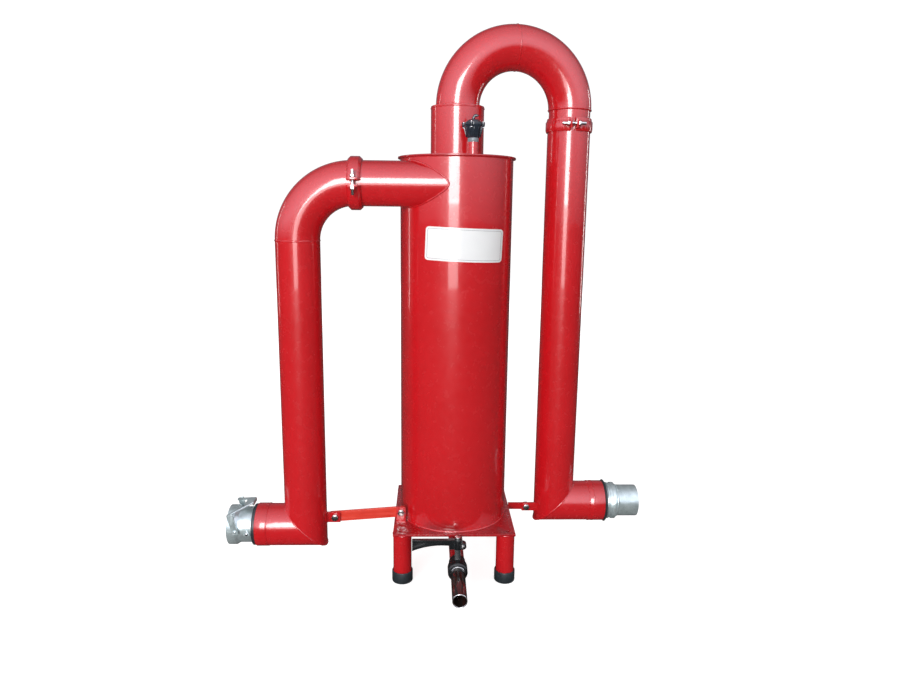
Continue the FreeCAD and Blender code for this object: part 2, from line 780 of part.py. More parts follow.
def make_air_valve_collar():
    base = air_valve_point(air_nipple_height)
    return rod(air_collar_od, air_collar_height, base, up)


def make_air_valve_body():
    base = air_valve_point(air_nipple_height + air_collar_height)
    flange_low = air_body_height - air_flange_height
    shoulder = air_collar_od / 2 + air_shoulder_step
    body = turned([(0, 0), (0, air_collar_od / 2), (air_shoulder_rise, shoulder),
                   (flange_low, air_body_top_d / 2), (flange_low, air_flange_d / 2),
                   (air_body_height, air_flange_d / 2), (air_body_height, 0)], base, up)
    for ear in ear_points(base + up * flange_low):
        body = body.fuse(rod(air_ear_d, air_flange_height, ear, up))
    return body


def ear_points(base):
    """Four screw ears round the air valve's flange."""
    radius = air_flange_d / 2
    return [base + Vector(radius * math.cos(a), radius * math.sin(a), 0)
            for a in (math.radians(air_ear_turn + 90 * i) for i in range(4))]


def make_air_valve_cap():
    base = air_valve_point(air_nipple_height + air_collar_height + air_body_height)
    rim = air_cap_d / 2
    cap = turned([(0, 0), (0, rim), (air_cap_rim, rim),
                  (air_cap_height * air_cap_shoulder_rise, rim * air_cap_shoulder),
                  (air_cap_height, rim * air_cap_top), (air_cap_height, 0)], base, up)
    return cap.fuse(rod(air_nozzle_d, air_nozzle_height, base + up * air_cap_height, up))


# ---- The assembly ----
inlet_riser, inlet_stub = riser_and_stub(
    inlet_corner, inlet_height - inlet_bend_radius, inlet_stub_length, left)
outlet_riser, outlet_stub = riser_and_stub(
    outlet_corner, outlet_joint_z, outlet_stub_length, right)
outlet_riser = outlet_riser.fuse(flange(outlet_flange_od, pipe_od, outlet_joint, down))

nodes = {
    "base_plate": make_base_plate(),
    "vessel_shell": make_vessel_shell(),
    "vessel_lid": make_vessel_lid(),
    "inlet_pipe": make_inlet_pipe(),
    "inlet_clamp_band": clamp_band(inlet_joint, right, front, inlet_flange_od),
    "inlet_clamp_bolt": clamp_bolt(inlet_joint, right, front, inlet_flange_od),
    "inlet_elbow": make_inlet_elbow(),
    "inlet_riser": inlet_riser,
    "inlet_stub": inlet_stub,
    "inlet_end_ring": end_ring(inlet_ring_x, inlet_ring_length, inlet_y, inlet_stub_height, left),
    "inlet_gasket": make_inlet_gasket(),
    "inlet_coupling": make_inlet_coupling(),
    "latch_yoke": make_latch_yoke(),
    "outlet_sleeve": make_outlet_sleeve(),
    "outlet_sleeve_cap": make_outlet_sleeve_cap(),
    "outlet_bend_rise": make_outlet_bend_rise(),
    "outlet_bend_fall": make_outlet_bend_fall(),
    "outlet_neck": make_outlet_neck(),
    "outlet_clamp_band": clamp_band(outlet_joint, up, front, outlet_flange_od),
    "outlet_clamp_bolt": clamp_bolt(outlet_joint, up, front, outlet_flange_od),
    "outlet_riser": outlet_riser,
    "outlet_stub": outlet_stub,
    "outlet_end_ring": end_ring(outlet_ring_x, outlet_ring_length, outlet_y,
                                outlet_stub_height, right),
    "outlet_flare": make_outlet_flare(),
    "outlet_spigot": make_outlet_spigot(),
    "inlet_brace_bar": make_inlet_brace_bar(),
    "inlet_brace_pipe_tab": make_inlet_brace_pipe_tab(),
    "inlet_brace_plate_tab": make_inlet_brace_plate_tab(),
    "outlet_brace_bar": make_outlet_brace_bar(),
    "outlet_brace_pipe_tab": make_outlet_brace_pipe_tab(),
    "brace_bolts": make_brace_bolts(),
    "drain_pipe": make_drain_pipe(),
    "drain_valve_body": make_drain_valve_body(),
    "drain_spout": make_drain_spout(),
    "drain_lever": make_drain_lever(),
    "drain_lever_bolts": make_drain_lever_bolts(),
    "air_valve_nipple": make_air_valve_nipple(),
    "air_valve_collar": make_air_valve_collar(),
    "air_valve_body": make_air_valve_body(),
    "air_valve_cap": make_air_valve_cap(),
}
for side_x, x_name in ((-1, "left"), (1, "right")):
    for side_y, y_name in ((-1, "front"), (1, "back")):
        nodes["leg_%s_%s" % (y_name, x_name)] = make_leg(side_x, side_y)
nodes["foot_caps"] = Part.makeCompound(
    [make_foot_cap(side_x, side_y) for side_x in (-1, 1) for side_y in (-1, 1)])

os.makedirs("parts", exist_ok=True)
for name, shape in nodes.items():
    shape.translate(to_row)
    shape.exportStep("parts/%s.step" % name)
    box = shape.BoundBox
    print("%-24s solids %d valid %s  x %.1f..%.1f  y %.1f..%.1f  z %.1f..%.1f" % (
        name, len(shape.Solids), shape.isValid(),
        box.XMin, box.XMax, box.YMin, box.YMax, box.ZMin, box.ZMax))
print("row origin offset", to_row)
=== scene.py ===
# %% [markdown]
# # A cyclone sand separator
# A red steel vessel spins sandy water so that the sand falls out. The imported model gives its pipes,
# plates and fittings. This lesson gives them paint, zinc, rubber and plastic, and adds what a welder
# and a fitter leave behind: beads of weld, rounded edges, pins, screws and a blank label.

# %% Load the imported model
import math

import bpy
from mathutils import Matrix, Vector


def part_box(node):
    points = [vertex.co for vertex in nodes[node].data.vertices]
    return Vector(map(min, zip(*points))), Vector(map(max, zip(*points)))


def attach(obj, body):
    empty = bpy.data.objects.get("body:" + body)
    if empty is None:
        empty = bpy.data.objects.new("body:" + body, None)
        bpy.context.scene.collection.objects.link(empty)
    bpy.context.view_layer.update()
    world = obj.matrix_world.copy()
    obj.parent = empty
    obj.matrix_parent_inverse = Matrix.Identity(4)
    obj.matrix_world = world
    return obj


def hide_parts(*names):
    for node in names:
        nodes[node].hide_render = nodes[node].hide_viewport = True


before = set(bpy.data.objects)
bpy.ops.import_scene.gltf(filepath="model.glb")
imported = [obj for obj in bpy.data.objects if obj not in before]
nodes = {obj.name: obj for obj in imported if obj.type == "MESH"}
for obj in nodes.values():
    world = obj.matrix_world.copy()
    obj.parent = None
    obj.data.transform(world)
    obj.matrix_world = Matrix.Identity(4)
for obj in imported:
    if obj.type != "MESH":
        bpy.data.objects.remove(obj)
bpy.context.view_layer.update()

# %% [markdown]
# ## Places
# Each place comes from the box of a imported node, so nothing here repeats the drawing's numbers. A box
# is two corners, and the helpers below turn it into a middle, a size and a radius.

# %% Read the places
MM = 0.001


def middle(node):
    low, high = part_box(node)
    return (low + high) / 2


def size(node):
    low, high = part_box(node)
    return high - low


shell_low, shell_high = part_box("vessel_shell")
vessel = middle("vessel_shell")
vessel_radius = size("vessel_shell").x / 2
inlet_axis = middle("inlet_pipe")
pipe_radius = size("inlet_riser").y / 2
inlet_riser = middle("inlet_riser")
outlet_riser = middle("outlet_riser")
outlet_stub = middle("outlet_stub")
sleeve = middle("outlet_sleeve")
spout = middle("drain_spout")
air_valve = middle("air_valve_collar")
print("vessel radius", round(vessel_radius, 4), "pipe radius", round(pipe_radius, 4))

# %% [markdown]
# ## Camera
# A camera is placed by its position and by three turns: to the side, down, and a slight roll. The
# lens is a wide one, so the upright pipes lean a little towards each other.

# %% Make the camera
EYE = Vector((-0.034388, -1.752857, 1.010789))
YAW, PITCH, ROLL = 0.03008, 0.19107, 0.01152
LENS, SENSOR = 26.8366, 36
SEES_TO = 200


def aim(yaw, pitch, roll):
    """The camera's turn: it looks along +Y, turned towards +X, down, and rolled."""
    level = math.cos(pitch)
    ahead = Vector((math.sin(yaw) * level, math.cos(yaw) * level, -math.sin(pitch)))
    right = Vector((math.cos(yaw), -math.sin(yaw), 0))
    up = right.cross(ahead)
    side = right * math.cos(roll) + up * math.sin(roll)
    top = up * math.cos(roll) - right * math.sin(roll)
    return Matrix((side, top, -ahead)).transposed().to_4x4()


lens = bpy.data.cameras.new("camera")
lens.lens, lens.sensor_width, lens.sensor_fit = LENS, SENSOR, "HORIZONTAL"
lens.clip_end = SEES_TO
camera = bpy.data.objects.new("camera", lens)
camera.matrix_world = Matrix.Translation(EYE) @ aim(YAW, PITCH, ROLL)
bpy.context.scene.collection.objects.link(camera)
bpy.context.scene.camera = camera
print("camera at", tuple(round(v, 3) for v in camera.location))

# %% [markdown]
# ## Helpers for modelling
# An operator acts on whatever is selected, so each step first selects just what it needs. Faces and
# edges are picked in code by their place or by their number.

# %% Select and pick
def only(piece):
    """Selects this piece alone."""
    if bpy.context.object and bpy.context.object.mode != "OBJECT":
        bpy.ops.object.mode_set(mode="OBJECT")
    bpy.ops.object.select_all(action="DESELECT")
    piece.select_set(True)
    bpy.context.view_layer.objects.active = piece


def edit(piece, kind="FACE", test=None):
    """Opens the piece in edit mode with the faces, edges or vertices picked for which test is true."""
    only(piece)
    mesh = piece.data
    bpy.context.tool_settings.mesh_select_mode = (kind == "VERT", kind == "EDGE", kind == "FACE")
    for group in (mesh.vertices, mesh.edges, mesh.polygons):
        group.foreach_set("select", [False] * len(group))
    chosen = {"VERT": mesh.vertices, "EDGE": mesh.edges, "FACE": mesh.polygons}[kind]
    if test:
        chosen.foreach_set("select", [bool(test(part)) for part in chosen])
    bpy.ops.object.mode_set(mode="EDIT")
    if not test:
        bpy.ops.mesh.select_all(action="SELECT")


def done(piece, name=None, smooth=35):
    """Leaves edit mode, applies the piece's place to its mesh and shades it by angle."""
    only(piece)
    bpy.ops.object.transform_apply(location=True, rotation=True, scale=True)
    bpy.ops.object.mode_set(mode="EDIT")
    bpy.ops.mesh.select_all(action="SELECT")
    bpy.ops.mesh.normals_make_consistent(inside=False)
    bpy.ops.object.mode_set(mode="OBJECT")
    bpy.ops.object.shade_smooth_by_angle(angle=math.radians(smooth))
    if name:
        piece.name = name
        piece.data.name = name
    return piece


def finish_with(piece, kind, **values):
    """Adds a modifier to the piece, sets it and applies it."""
    only(piece)
    modifier = piece.modifiers.new(kind.lower(), kind)
    for key, value in values.items():
        setattr(modifier, key, value)
    bpy.ops.object.modifier_apply(modifier=modifier.name)


def rounded(piece, width, angle):
    """Rounds every edge that turns by more than the angle, in degrees."""
    finish_with(piece, "BEVEL", width=width, segments=2, limit_method="ANGLE",
                angle_limit=math.radians(angle))


def point_along(piece, direction):
    """Turns a piece made along +Z so that it points along another direction."""
    piece.rotation_mode = "QUATERNION"
    piece.rotation_quaternion = Vector((0, 0, 1)).rotation_difference(Vector(direction))


def dress(piece, material, body="separator", replaces=()):
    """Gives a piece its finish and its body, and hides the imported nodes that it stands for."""
    piece.data.materials.clear()
    piece.data.materials.append(material)
    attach(piece, body)
    if replaces:
        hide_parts(*replaces)
    return piece


print("helpers ready")

# %% [markdown]
# ## Turned pieces
# Screws, pins, domes and nozzles are round, as if made on a lathe. A filled circle is extruded along
# its axis, and after each step its end is scaled to the next radius.

# %% Turn a piece
TURNED_EDGE = 30


def turned(name, foot, direction, rings, sides=48, bevel=0.0):
    """rings are (distance along the axis, radius) from the foot on."""
    start, radius = rings[0]
    bpy.ops.object.select_all(action="DESELECT")
    bpy.ops.mesh.primitive_circle_add(vertices=sides, radius=radius, fill_type="NGON",
                                      location=(0, 0, start))
    piece = bpy.context.object
    bpy.ops.object.transform_apply(location=True)
    edit(piece)
    for (far, wide), (near, narrow) in zip(rings[1:], rings):
        bpy.ops.mesh.extrude_region_move(TRANSFORM_OT_translate={"value": (0, 0, far - near)})
        wider = wide / narrow
        bpy.ops.transform.resize(value=(wider, wider, 1), center_override=(0, 0, far))
    bpy.ops.mesh.select_all(action="SELECT")
    bpy.ops.mesh.remove_doubles(threshold=1e-6)
    bpy.ops.object.mode_set(mode="OBJECT")
    if bevel:
        rounded(piece, bevel, TURNED_EDGE)
    point_along(piece, direction)
    piece.location = foot
    return done(piece, name)


print("lathe ready")


# %% [markdown]
# ## Softened pieces
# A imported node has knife-sharp edges, and real steel and plastic have none: each edge has a small
# round that catches the light. A node can't be changed, so it is copied, its loose triangles are
# merged into flat faces, and a bevel rounds its edges. The copy then stands for the node.

# %% Soften a node's edges
SAME_POINT = 2e-6
SAME_FACE = math.radians(0.6)
SHARP = 28


def softened(node, width, material, body):
    """Copies a node, rounds its sharp edges and lets the copy stand for it."""
    source = nodes[node]
    copy = bpy.data.objects.new(node + "_soft", source.data.copy())
    bpy.context.scene.collection.objects.link(copy)
    edit(copy)
    bpy.ops.mesh.remove_doubles(threshold=SAME_POINT)
    bpy.ops.mesh.select_all(action="SELECT")
    bpy.ops.mesh.dissolve_limited(angle_limit=SAME_FACE)
    bpy.ops.object.mode_set(mode="OBJECT")
    rounded(copy, width, SHARP)
    only(copy)
    bpy.ops.object.shade_smooth_by_angle(angle=math.radians(SHARP + 4))
    return dress(copy, material, body, [node])


print("softening ready")

# %% [markdown]
# ## Shared effects
# Three effects come back in most finishes: a mottle that varies colour and gloss, the wear that shows
# along edges, and dust that settles on what faces up. Each is a node group, built once, with named
# inputs, and each material places it with its own values.

# %% Build the node groups
def new_group(name, inputs, outputs):
    """An empty group with named inputs and outputs."""
    group = bpy.data.node_groups.new(name, "ShaderNodeTree")
    for title, default in inputs:
        socket = group.interface.new_socket(title, in_out="INPUT", socket_type="NodeSocketFloat")
        socket.default_value = default
    for title in outputs:
        group.interface.new_socket(title, in_out="OUTPUT", socket_type="NodeSocketFloat")
    return group, group.nodes.new("NodeGroupInput"), group.nodes.new("NodeGroupOutput")


def node(tree, kind, **values):
    """Adds a node and sets its own choices."""
    made = tree.nodes.new("ShaderNode" + kind)
    for key, value in values.items():
        setattr(made, key, value)
    return made


def noise(tree, scale, detail=3.0, rough=0.55, vector=None):
    """A noise that stays on the piece, because it reads Object coordinates."""
    made = node(tree, "TexNoise")
    made.inputs["Detail"].default_value = detail
    made.inputs["Roughness"].default_value = rough
    if isinstance(scale, (int, float)):
        made.inputs["Scale"].default_value = scale
    else:
        tree.links.new(scale, made.inputs["Scale"])
    source = vector or node(tree, "TexCoord").outputs["Object"]
    tree.links.new(source, made.inputs["Vector"])
    return made


def math_node(tree, operation, a, b, c=0.5):
    """A sum of two values, or of three for MULTIPLY_ADD. Each is a number or another node's output."""
    made = node(tree, "Math", operation=operation)
    for socket, value in zip(made.inputs, (a, b, c)):
        if isinstance(value, (int, float)):
            socket.default_value = value
        else:
            tree.links.new(value, socket)
    return made.outputs[0]


def span(tree, value, low, high, to_low=0.0, to_high=1.0):
    """Stretches the values between low and high to a new range, and clips the rest."""
    made = node(tree, "MapRange")
    ends = (("From Min", low), ("From Max", high), ("To Min", to_low), ("To Max", to_high))
    for title, number in ends:
        if isinstance(number, (int, float)):
            made.inputs[title].default_value = number
        else:
            tree.links.new(number, made.inputs[title])
    tree.links.new(value, made.inputs["Value"])
    return made.outputs["Result"]


print("node helpers ready")

# %% Build the mottle
FINER = 9.0


def build_mottle():
    """Broad patches in Mask and fine ones in Fine, both around a half."""
    group, given, result = new_group("mottle", [("Scale", 20.0), ("Contrast", 0.5)],
                                     ["Mask", "Fine"])
    broad = noise(group, given.outputs["Scale"], detail=4)
    fine = noise(group, math_node(group, "MULTIPLY", given.outputs["Scale"], FINER), detail=2)
    low = math_node(group, "MULTIPLY_ADD", given.outputs["Contrast"], -0.5, 0.5)
    high = math_node(group, "MULTIPLY_ADD", given.outputs["Contrast"], 0.5, 0.5)
    group.links.new(span(group, broad.outputs["Fac"], 0.3, 0.7, low, high), result.inputs["Mask"])
    group.links.new(span(group, fine.outputs["Fac"], 0.3, 0.7, low, high), result.inputs["Fine"])
    return group


MOTTLE = build_mottle()
print("node group:", MOTTLE.name)

# %% Build the edge wear
EDGE_BEND = (0.01, 0.12)
EDGE_PATCHES = (0.4, 0.62)


def build_edge_wear():
    """Shows edges, where the surface's own normal and a rounded one differ."""
    inputs = [("Radius", 0.002), ("Amount", 0.5), ("Breakup", 60.0)]
    group, given, result = new_group("edge_wear", inputs, ["Mask"])
    bevel = node(group, "Bevel", samples=4)
    group.links.new(given.outputs["Radius"], bevel.inputs["Radius"])
    flat = node(group, "NewGeometry")
    dot = node(group, "VectorMath", operation="DOT_PRODUCT")
    group.links.new(bevel.outputs["Normal"], dot.inputs[0])
    group.links.new(flat.outputs["Normal"], dot.inputs[1])
    bent = math_node(group, "SUBTRACT", 1.0, dot.outputs["Value"])
    breakup = noise(group, given.outputs["Breakup"], detail=5)
    patchy = span(group, breakup.outputs["Fac"], *EDGE_PATCHES)
    worn_edge = math_node(group, "MULTIPLY", span(group, bent, *EDGE_BEND), patchy)
    mask = math_node(group, "MULTIPLY", worn_edge, given.outputs["Amount"])
    group.links.new(mask, result.inputs["Mask"])
    return group


EDGE_WEAR = build_edge_wear()
print("node group:", EDGE_WEAR.name)

# %% Build the dust
FACES_UP = (0.25, 0.95)
DUST_PATCHES = (0.35, 0.7)


def build_dust():
    """Dust lies in patches on what faces up."""
    group, given, result = new_group("dust", [("Amount", 0.3), ("Scale", 18.0)], ["Mask"])
    geometry = node(group, "NewGeometry")
    parts = node(group, "SeparateXYZ")
    group.links.new(geometry.outputs["Normal"], parts.inputs[0])
    facing = span(group, parts.outputs["Z"], *FACES_UP)
    patchy = span(group, noise(group, given.outputs["Scale"], detail=5).outputs["Fac"], *DUST_PATCHES)
    settled = math_node(group, "MULTIPLY", facing, patchy)
    mask = math_node(group, "MULTIPLY", settled, given.outputs["Amount"])
    group.links.new(mask, result.inputs["Mask"])
    return group


DUST = build_dust()
print("node group:", DUST.name)

# %% [markdown]
# ## A finish from parts
# Every finish here is built the same way: a base colour that drifts between two close tones, dust and
# worn edges mixed over it, a roughness that drifts too, and a bump made of two sizes of noise. Only
# the values differ, so one function lays the nodes and each finish hands in its own numbers.

# %% Lay the nodes of a finish
def effect(tree, group, **values):
    """Places a node group in a material and sets its inputs."""
    made = tree.nodes.new("ShaderNodeGroup")
    made.node_tree = group
    for title, value in values.items():
        made.inputs[title].default_value = value
    return made


def blend_colour(tree, factor, first, second):
    """Mixes two colours. Each is a tone or another node's output."""
    made = node(tree, "Mix", data_type="RGBA")
    tree.links.new(factor, made.inputs["Factor"])
    for socket, value in ((made.inputs[6], first), (made.inputs[7], second)):
        if isinstance(value, tuple):
            socket.default_value = (*value, 1)
        else:
            tree.links.new(value, socket)
    return made.outputs[2]


WEAR_RADIUS = 1.5 * MM
DUST_DULLS = 0.35


def finish_of(name, tones, rough, metallic=0.0, worn=(0.3, 0.3, 0.3), wear=0.3, dust=0.15,
              dust_tone=(0.35, 0.27, 0.22), mottle=20.0, bump=(220.0, 0.0002),
              wave=(14.0, 0.0006), coat=0.0, coat_rough=0.1):
    """bump and wave are (noise scale, height in metres) of the fine and the broad relief."""
    material = bpy.data.materials.new(name)
    material.use_nodes = True
    tree = material.node_tree
    shader = tree.nodes["Principled BSDF"]
    shader.inputs["Metallic"].default_value = metallic
    shader.inputs["Coat Weight"].default_value = coat
    shader.inputs["Coat Roughness"].default_value = coat_rough
    spots = effect(tree, MOTTLE, Scale=mottle, Contrast=0.8)
    colour = blend_colour(tree, spots.outputs["Mask"], *tones)
    settled = effect(tree, DUST, Amount=dust)
    colour = blend_colour(tree, settled.outputs["Mask"], colour, dust_tone)
    edges = effect(tree, EDGE_WEAR, Radius=WEAR_RADIUS, Amount=wear)
    colour = blend_colour(tree, edges.outputs["Mask"], colour, worn)
    tree.links.new(colour, shader.inputs["Base Color"])
    gloss = span(tree, spots.outputs["Fine"], 0.0, 1.0, rough[0], rough[1])
    dulled = math_node(tree, "MULTIPLY_ADD", settled.outputs["Mask"], DUST_DULLS, gloss)
    tree.links.new(dulled, shader.inputs["Roughness"])
    fine = math_node(tree, "MULTIPLY", noise(tree, bump[0], detail=2).outputs["Fac"], bump[1])
    broad = math_node(tree, "MULTIPLY", noise(tree, wave[0], detail=1).outputs["Fac"], wave[1])
    height = math_node(tree, "ADD", fine, broad)
    relief = node(tree, "Bump")
    relief.inputs["Distance"].default_value = 1.0
    relief.inputs["Strength"].default_value = 1.0
    tree.links.new(height, relief.inputs["Height"])
    tree.links.new(relief.outputs["Normal"], shader.inputs["Normal"])
    return material


print("finish maker ready")

# %% [markdown]
# ## The finishes
# The steel is sprayed with a glossy red enamel. It has the fine dimples of sprayed paint, broad soft
# waves from the rolled sheet, and small worn spots along its edges. The braces were painted from
# another tin, a little more orange. The couplings are cast and galvanised, and zinc grows crystals.

# %% Make the enamels
RED = finish_of("red_enamel", ((0.56, 0.0070, 0.011), (0.63, 0.0090, 0.015)), (0.20, 0.30),
                worn=(0.16, 0.008, 0.010), wear=0.5, dust=0.04, dust_tone=(0.62, 0.16, 0.15),
                mottle=6.0, bump=(240.0, 0.000004), wave=(9.0, 0.0005), coat=0.9, coat_rough=0.04)
# A darker copy of the red enamel: painted shade, for the lid's dark rim and for the base plate.
SHADED_RED = finish_of("shaded_red_enamel", ((0.38, 0.0050, 0.009), (0.46, 0.0070, 0.012)), (0.20, 0.30),
                    worn=(0.12, 0.006, 0.008), wear=0.5, dust=0.04, dust_tone=(0.5, 0.12, 0.11),
                    mottle=12.0, bump=(240.0, 0.000004), wave=(9.0, 0.0003), coat=0.6,
                    coat_rough=0.05)
BRACE_RED = finish_of("brace_enamel", ((0.72, 0.040, 0.022), (0.80, 0.060, 0.035)), (0.28, 0.42),
                      worn=(0.35, 0.05, 0.03), wear=0.5, dust=0.1, dust_tone=(0.8, 0.3, 0.25),
                      mottle=25.0, bump=(300.0, 0.00002), wave=(20.0, 0.0002))
print("enamels made")

# %% Make the metals
ZINC_CAST = finish_of("galvanised_casting", ((0.47, 0.56, 0.57), (0.72, 0.83, 0.84)), (0.24, 0.42),
                      metallic=0.6, worn=(0.85, 0.92, 0.94), wear=0.8, dust=0.12,
                      dust_tone=(0.22, 0.22, 0.21), mottle=55.0, bump=(420.0, 0.00012),
                      wave=(60.0, 0.0010))
ZINC_BRIGHT = finish_of("bright_zinc", ((0.42, 0.43, 0.42), (0.62, 0.63, 0.62)), (0.16, 0.30),
                        metallic=1.0, worn=(0.9, 0.9, 0.9), wear=0.5, dust=0.1, mottle=90.0,
                        bump=(600.0, 0.00002), wave=(80.0, 0.0001))
print("metals made")

# %% Make the rubber, the plastics and the label's film
RUBBER = finish_of("black_rubber", ((0.014, 0.020, 0.024), (0.028, 0.038, 0.044)), (0.36, 0.52),
                   worn=(0.10, 0.12, 0.13), wear=0.5, dust=0.2, dust_tone=(0.10, 0.115, 0.12),
                   mottle=60.0, bump=(700.0, 0.00006), wave=(70.0, 0.0003))
PLASTIC = finish_of("black_plastic", ((0.006, 0.007, 0.008), (0.013, 0.015, 0.017)), (0.20, 0.36),
                    worn=(0.22, 0.23, 0.24), wear=0.9, dust=0.1, dust_tone=(0.11, 0.11, 0.11),
                    mottle=70.0, bump=(900.0, 0.00003), wave=(90.0, 0.0002))
GLOSS_BLACK = finish_of("glossy_black", ((0.014, 0.020, 0.030), (0.026, 0.036, 0.050)), (0.10, 0.20),
                        worn=(0.10, 0.12, 0.14), wear=0.4, dust=0.05, mottle=60.0,
                        bump=(500.0, 0.00001), wave=(70.0, 0.0002), coat=0.4)
GREY_PLASTIC = finish_of("grey_plastic", ((0.13, 0.16, 0.18), (0.30, 0.34, 0.37)), (0.25, 0.45),
                         worn=(0.5, 0.52, 0.55), wear=0.4, dust=0.1, mottle=220.0,
                         bump=(500.0, 0.00003), wave=(90.0, 0.0001))
LABEL = finish_of("label_film", ((0.93, 0.94, 0.955), (0.97, 0.975, 0.985)), (0.12, 0.22),
                  worn=(0.8, 0.6, 0.6), wear=0.2, dust=0.05, mottle=12.0,
                  bump=(200.0, 0.000005), wave=(20.0, 0.0001), coat=0.4)
LABEL_LINE = finish_of("label_line", ((0.30, 0.31, 0.33), (0.40, 0.41, 0.43)), (0.2, 0.3), wear=0.0,
                       dust=0.0, mottle=40.0, bump=(200.0, 0.000005), wave=(20.0, 0.0001))
print("rubber, plastics and film made")

# %% [markdown]
# The drain's spout is a dark glossy tube with reddish streaks that run along it. A noise that is
# stretched along the tube gives streaks, and the tube lies along Y, so the stretch is along Y too.

# %% Streak the drain's tube
TUBE = finish_of("dark_tube", ((0.006, 0.004, 0.004), (0.020, 0.012, 0.010)), (0.07, 0.16),
                 worn=(0.3, 0.2, 0.16), wear=0.5, dust=0.1, mottle=40.0, bump=(300.0, 0.00001),
                 wave=(30.0, 0.0002), coat=0.5)
STREAK_TONE = (0.26, 0.045, 0.03)
ALONG_THE_TUBE = (130, 9, 130)


def streak(material, tone, scale, share):
    """Mixes a streaked tone over a finish's base colour."""
    tree = material.node_tree
    shader = tree.nodes["Principled BSDF"]
    under = shader.inputs["Base Color"].links[0].from_socket
    stretch = node(tree, "Mapping")
    stretch.inputs["Scale"].default_value = scale
    tree.links.new(node(tree, "TexCoord").outputs["Object"], stretch.inputs["Vector"])
    streaks = noise(tree, 1.0, detail=4, vector=stretch.outputs["Vector"])
    shown = span(tree, streaks.outputs["Fac"], 0.5, 0.68)
    amount = math_node(tree, "MULTIPLY", shown, share)
    tree.links.new(blend_colour(tree, amount, under, tone), shader.inputs["Base Color"])


streak(TUBE, STREAK_TONE, ALONG_THE_TUBE, share=0.20)
print("tube streaked")

# %% [markdown]
# Splashes leave a dark stain at the shell's front foot. The shell's enamel is a copy of the red one,
# and a mask made from the height and the place from side to side mixes the stain in.

# %% Stain the shell's foot
SHELL_RED = RED.copy()
SHELL_RED.name = "shell_enamel"
STAIN_TONE = (0.10, 0.004, 0.005)
STAIN_LOW = (vessel.x - 95 * MM, shell_low.z + 12 * MM)
STAIN_HIGH = (vessel.x + 35 * MM, shell_low.z + 48 * MM)
FADE, FRAY = 30 * MM, 30 * MM


def stain(material, low, high, tone, share):
    """low and high are the stain's corners in the room, in X and Z; noise frays its edge."""
    tree = material.node_tree
    shader = tree.nodes["Principled BSDF"]
    under = shader.inputs["Base Color"].links[0].from_socket
    parts = node(tree, "SeparateXYZ")
    tree.links.new(node(tree, "TexCoord").outputs["Object"], parts.inputs[0])
    fray = math_node(tree, "MULTIPLY", noise(tree, 34.0, detail=5).outputs["Fac"], FRAY)
    rise = math_node(tree, "ADD", parts.outputs["Z"], fray)
    mask = span(tree, rise, high[1], low[1])
    for near, far in ((low[0], low[0] + FADE), (high[0], high[0] - FADE)):
        mask = math_node(tree, "MULTIPLY", mask, span(tree, parts.outputs["X"], near, far))
    front = span(tree, parts.outputs["Y"], vessel.y, vessel.y - 50 * MM)
    mask = math_node(tree, "MULTIPLY", mask, front)
    amount = math_node(tree, "MULTIPLY", mask, share)
    tree.links.new(blend_colour(tree, amount, under, tone), shader.inputs["Base Color"])


stain(SHELL_RED, STAIN_LOW, STAIN_HIGH, STAIN_TONE, share=0.75)
print("foot stained")

# %% [markdown]
# ## Paint on the imported nodes
# Most nodes are right as they are and only need their finish.

# %% Paint every node
for node_object in nodes.values():
    node_object.data.materials.clear()
    node_object.data.materials.append(RED)
FINISHES = {
    "vessel_shell": SHELL_RED,
    "inlet_brace_bar": BRACE_RED,
    "inlet_coupling": ZINC_CAST, "outlet_spigot": ZINC_CAST, "latch_yoke": ZINC_CAST,
    "inlet_clamp_bolt": ZINC_BRIGHT, "outlet_clamp_bolt": ZINC_BRIGHT,
    "brace_bolts": ZINC_BRIGHT, "drain_lever_bolts": ZINC_BRIGHT,
    "foot_caps": RUBBER, "inlet_gasket": RUBBER, "outlet_flare": RUBBER,
    "drain_valve_body": PLASTIC, "drain_lever": PLASTIC, "drain_spout": TUBE,
    "air_valve_body": GLOSS_BLACK, "air_valve_cap": GLOSS_BLACK, "air_valve_collar": GREY_PLASTIC,
}
for name, material in FINISHES.items():
    nodes[name].data.materials[0] = material
print("painted", len(nodes), "nodes")

# %% [markdown]
# ## Rounded edges
# Plates, castings, clamps and braces show their edges most, so these nodes get softened copies. Each
# row gives the node, the width of the round in millimetres, the finish, the slot and the body.

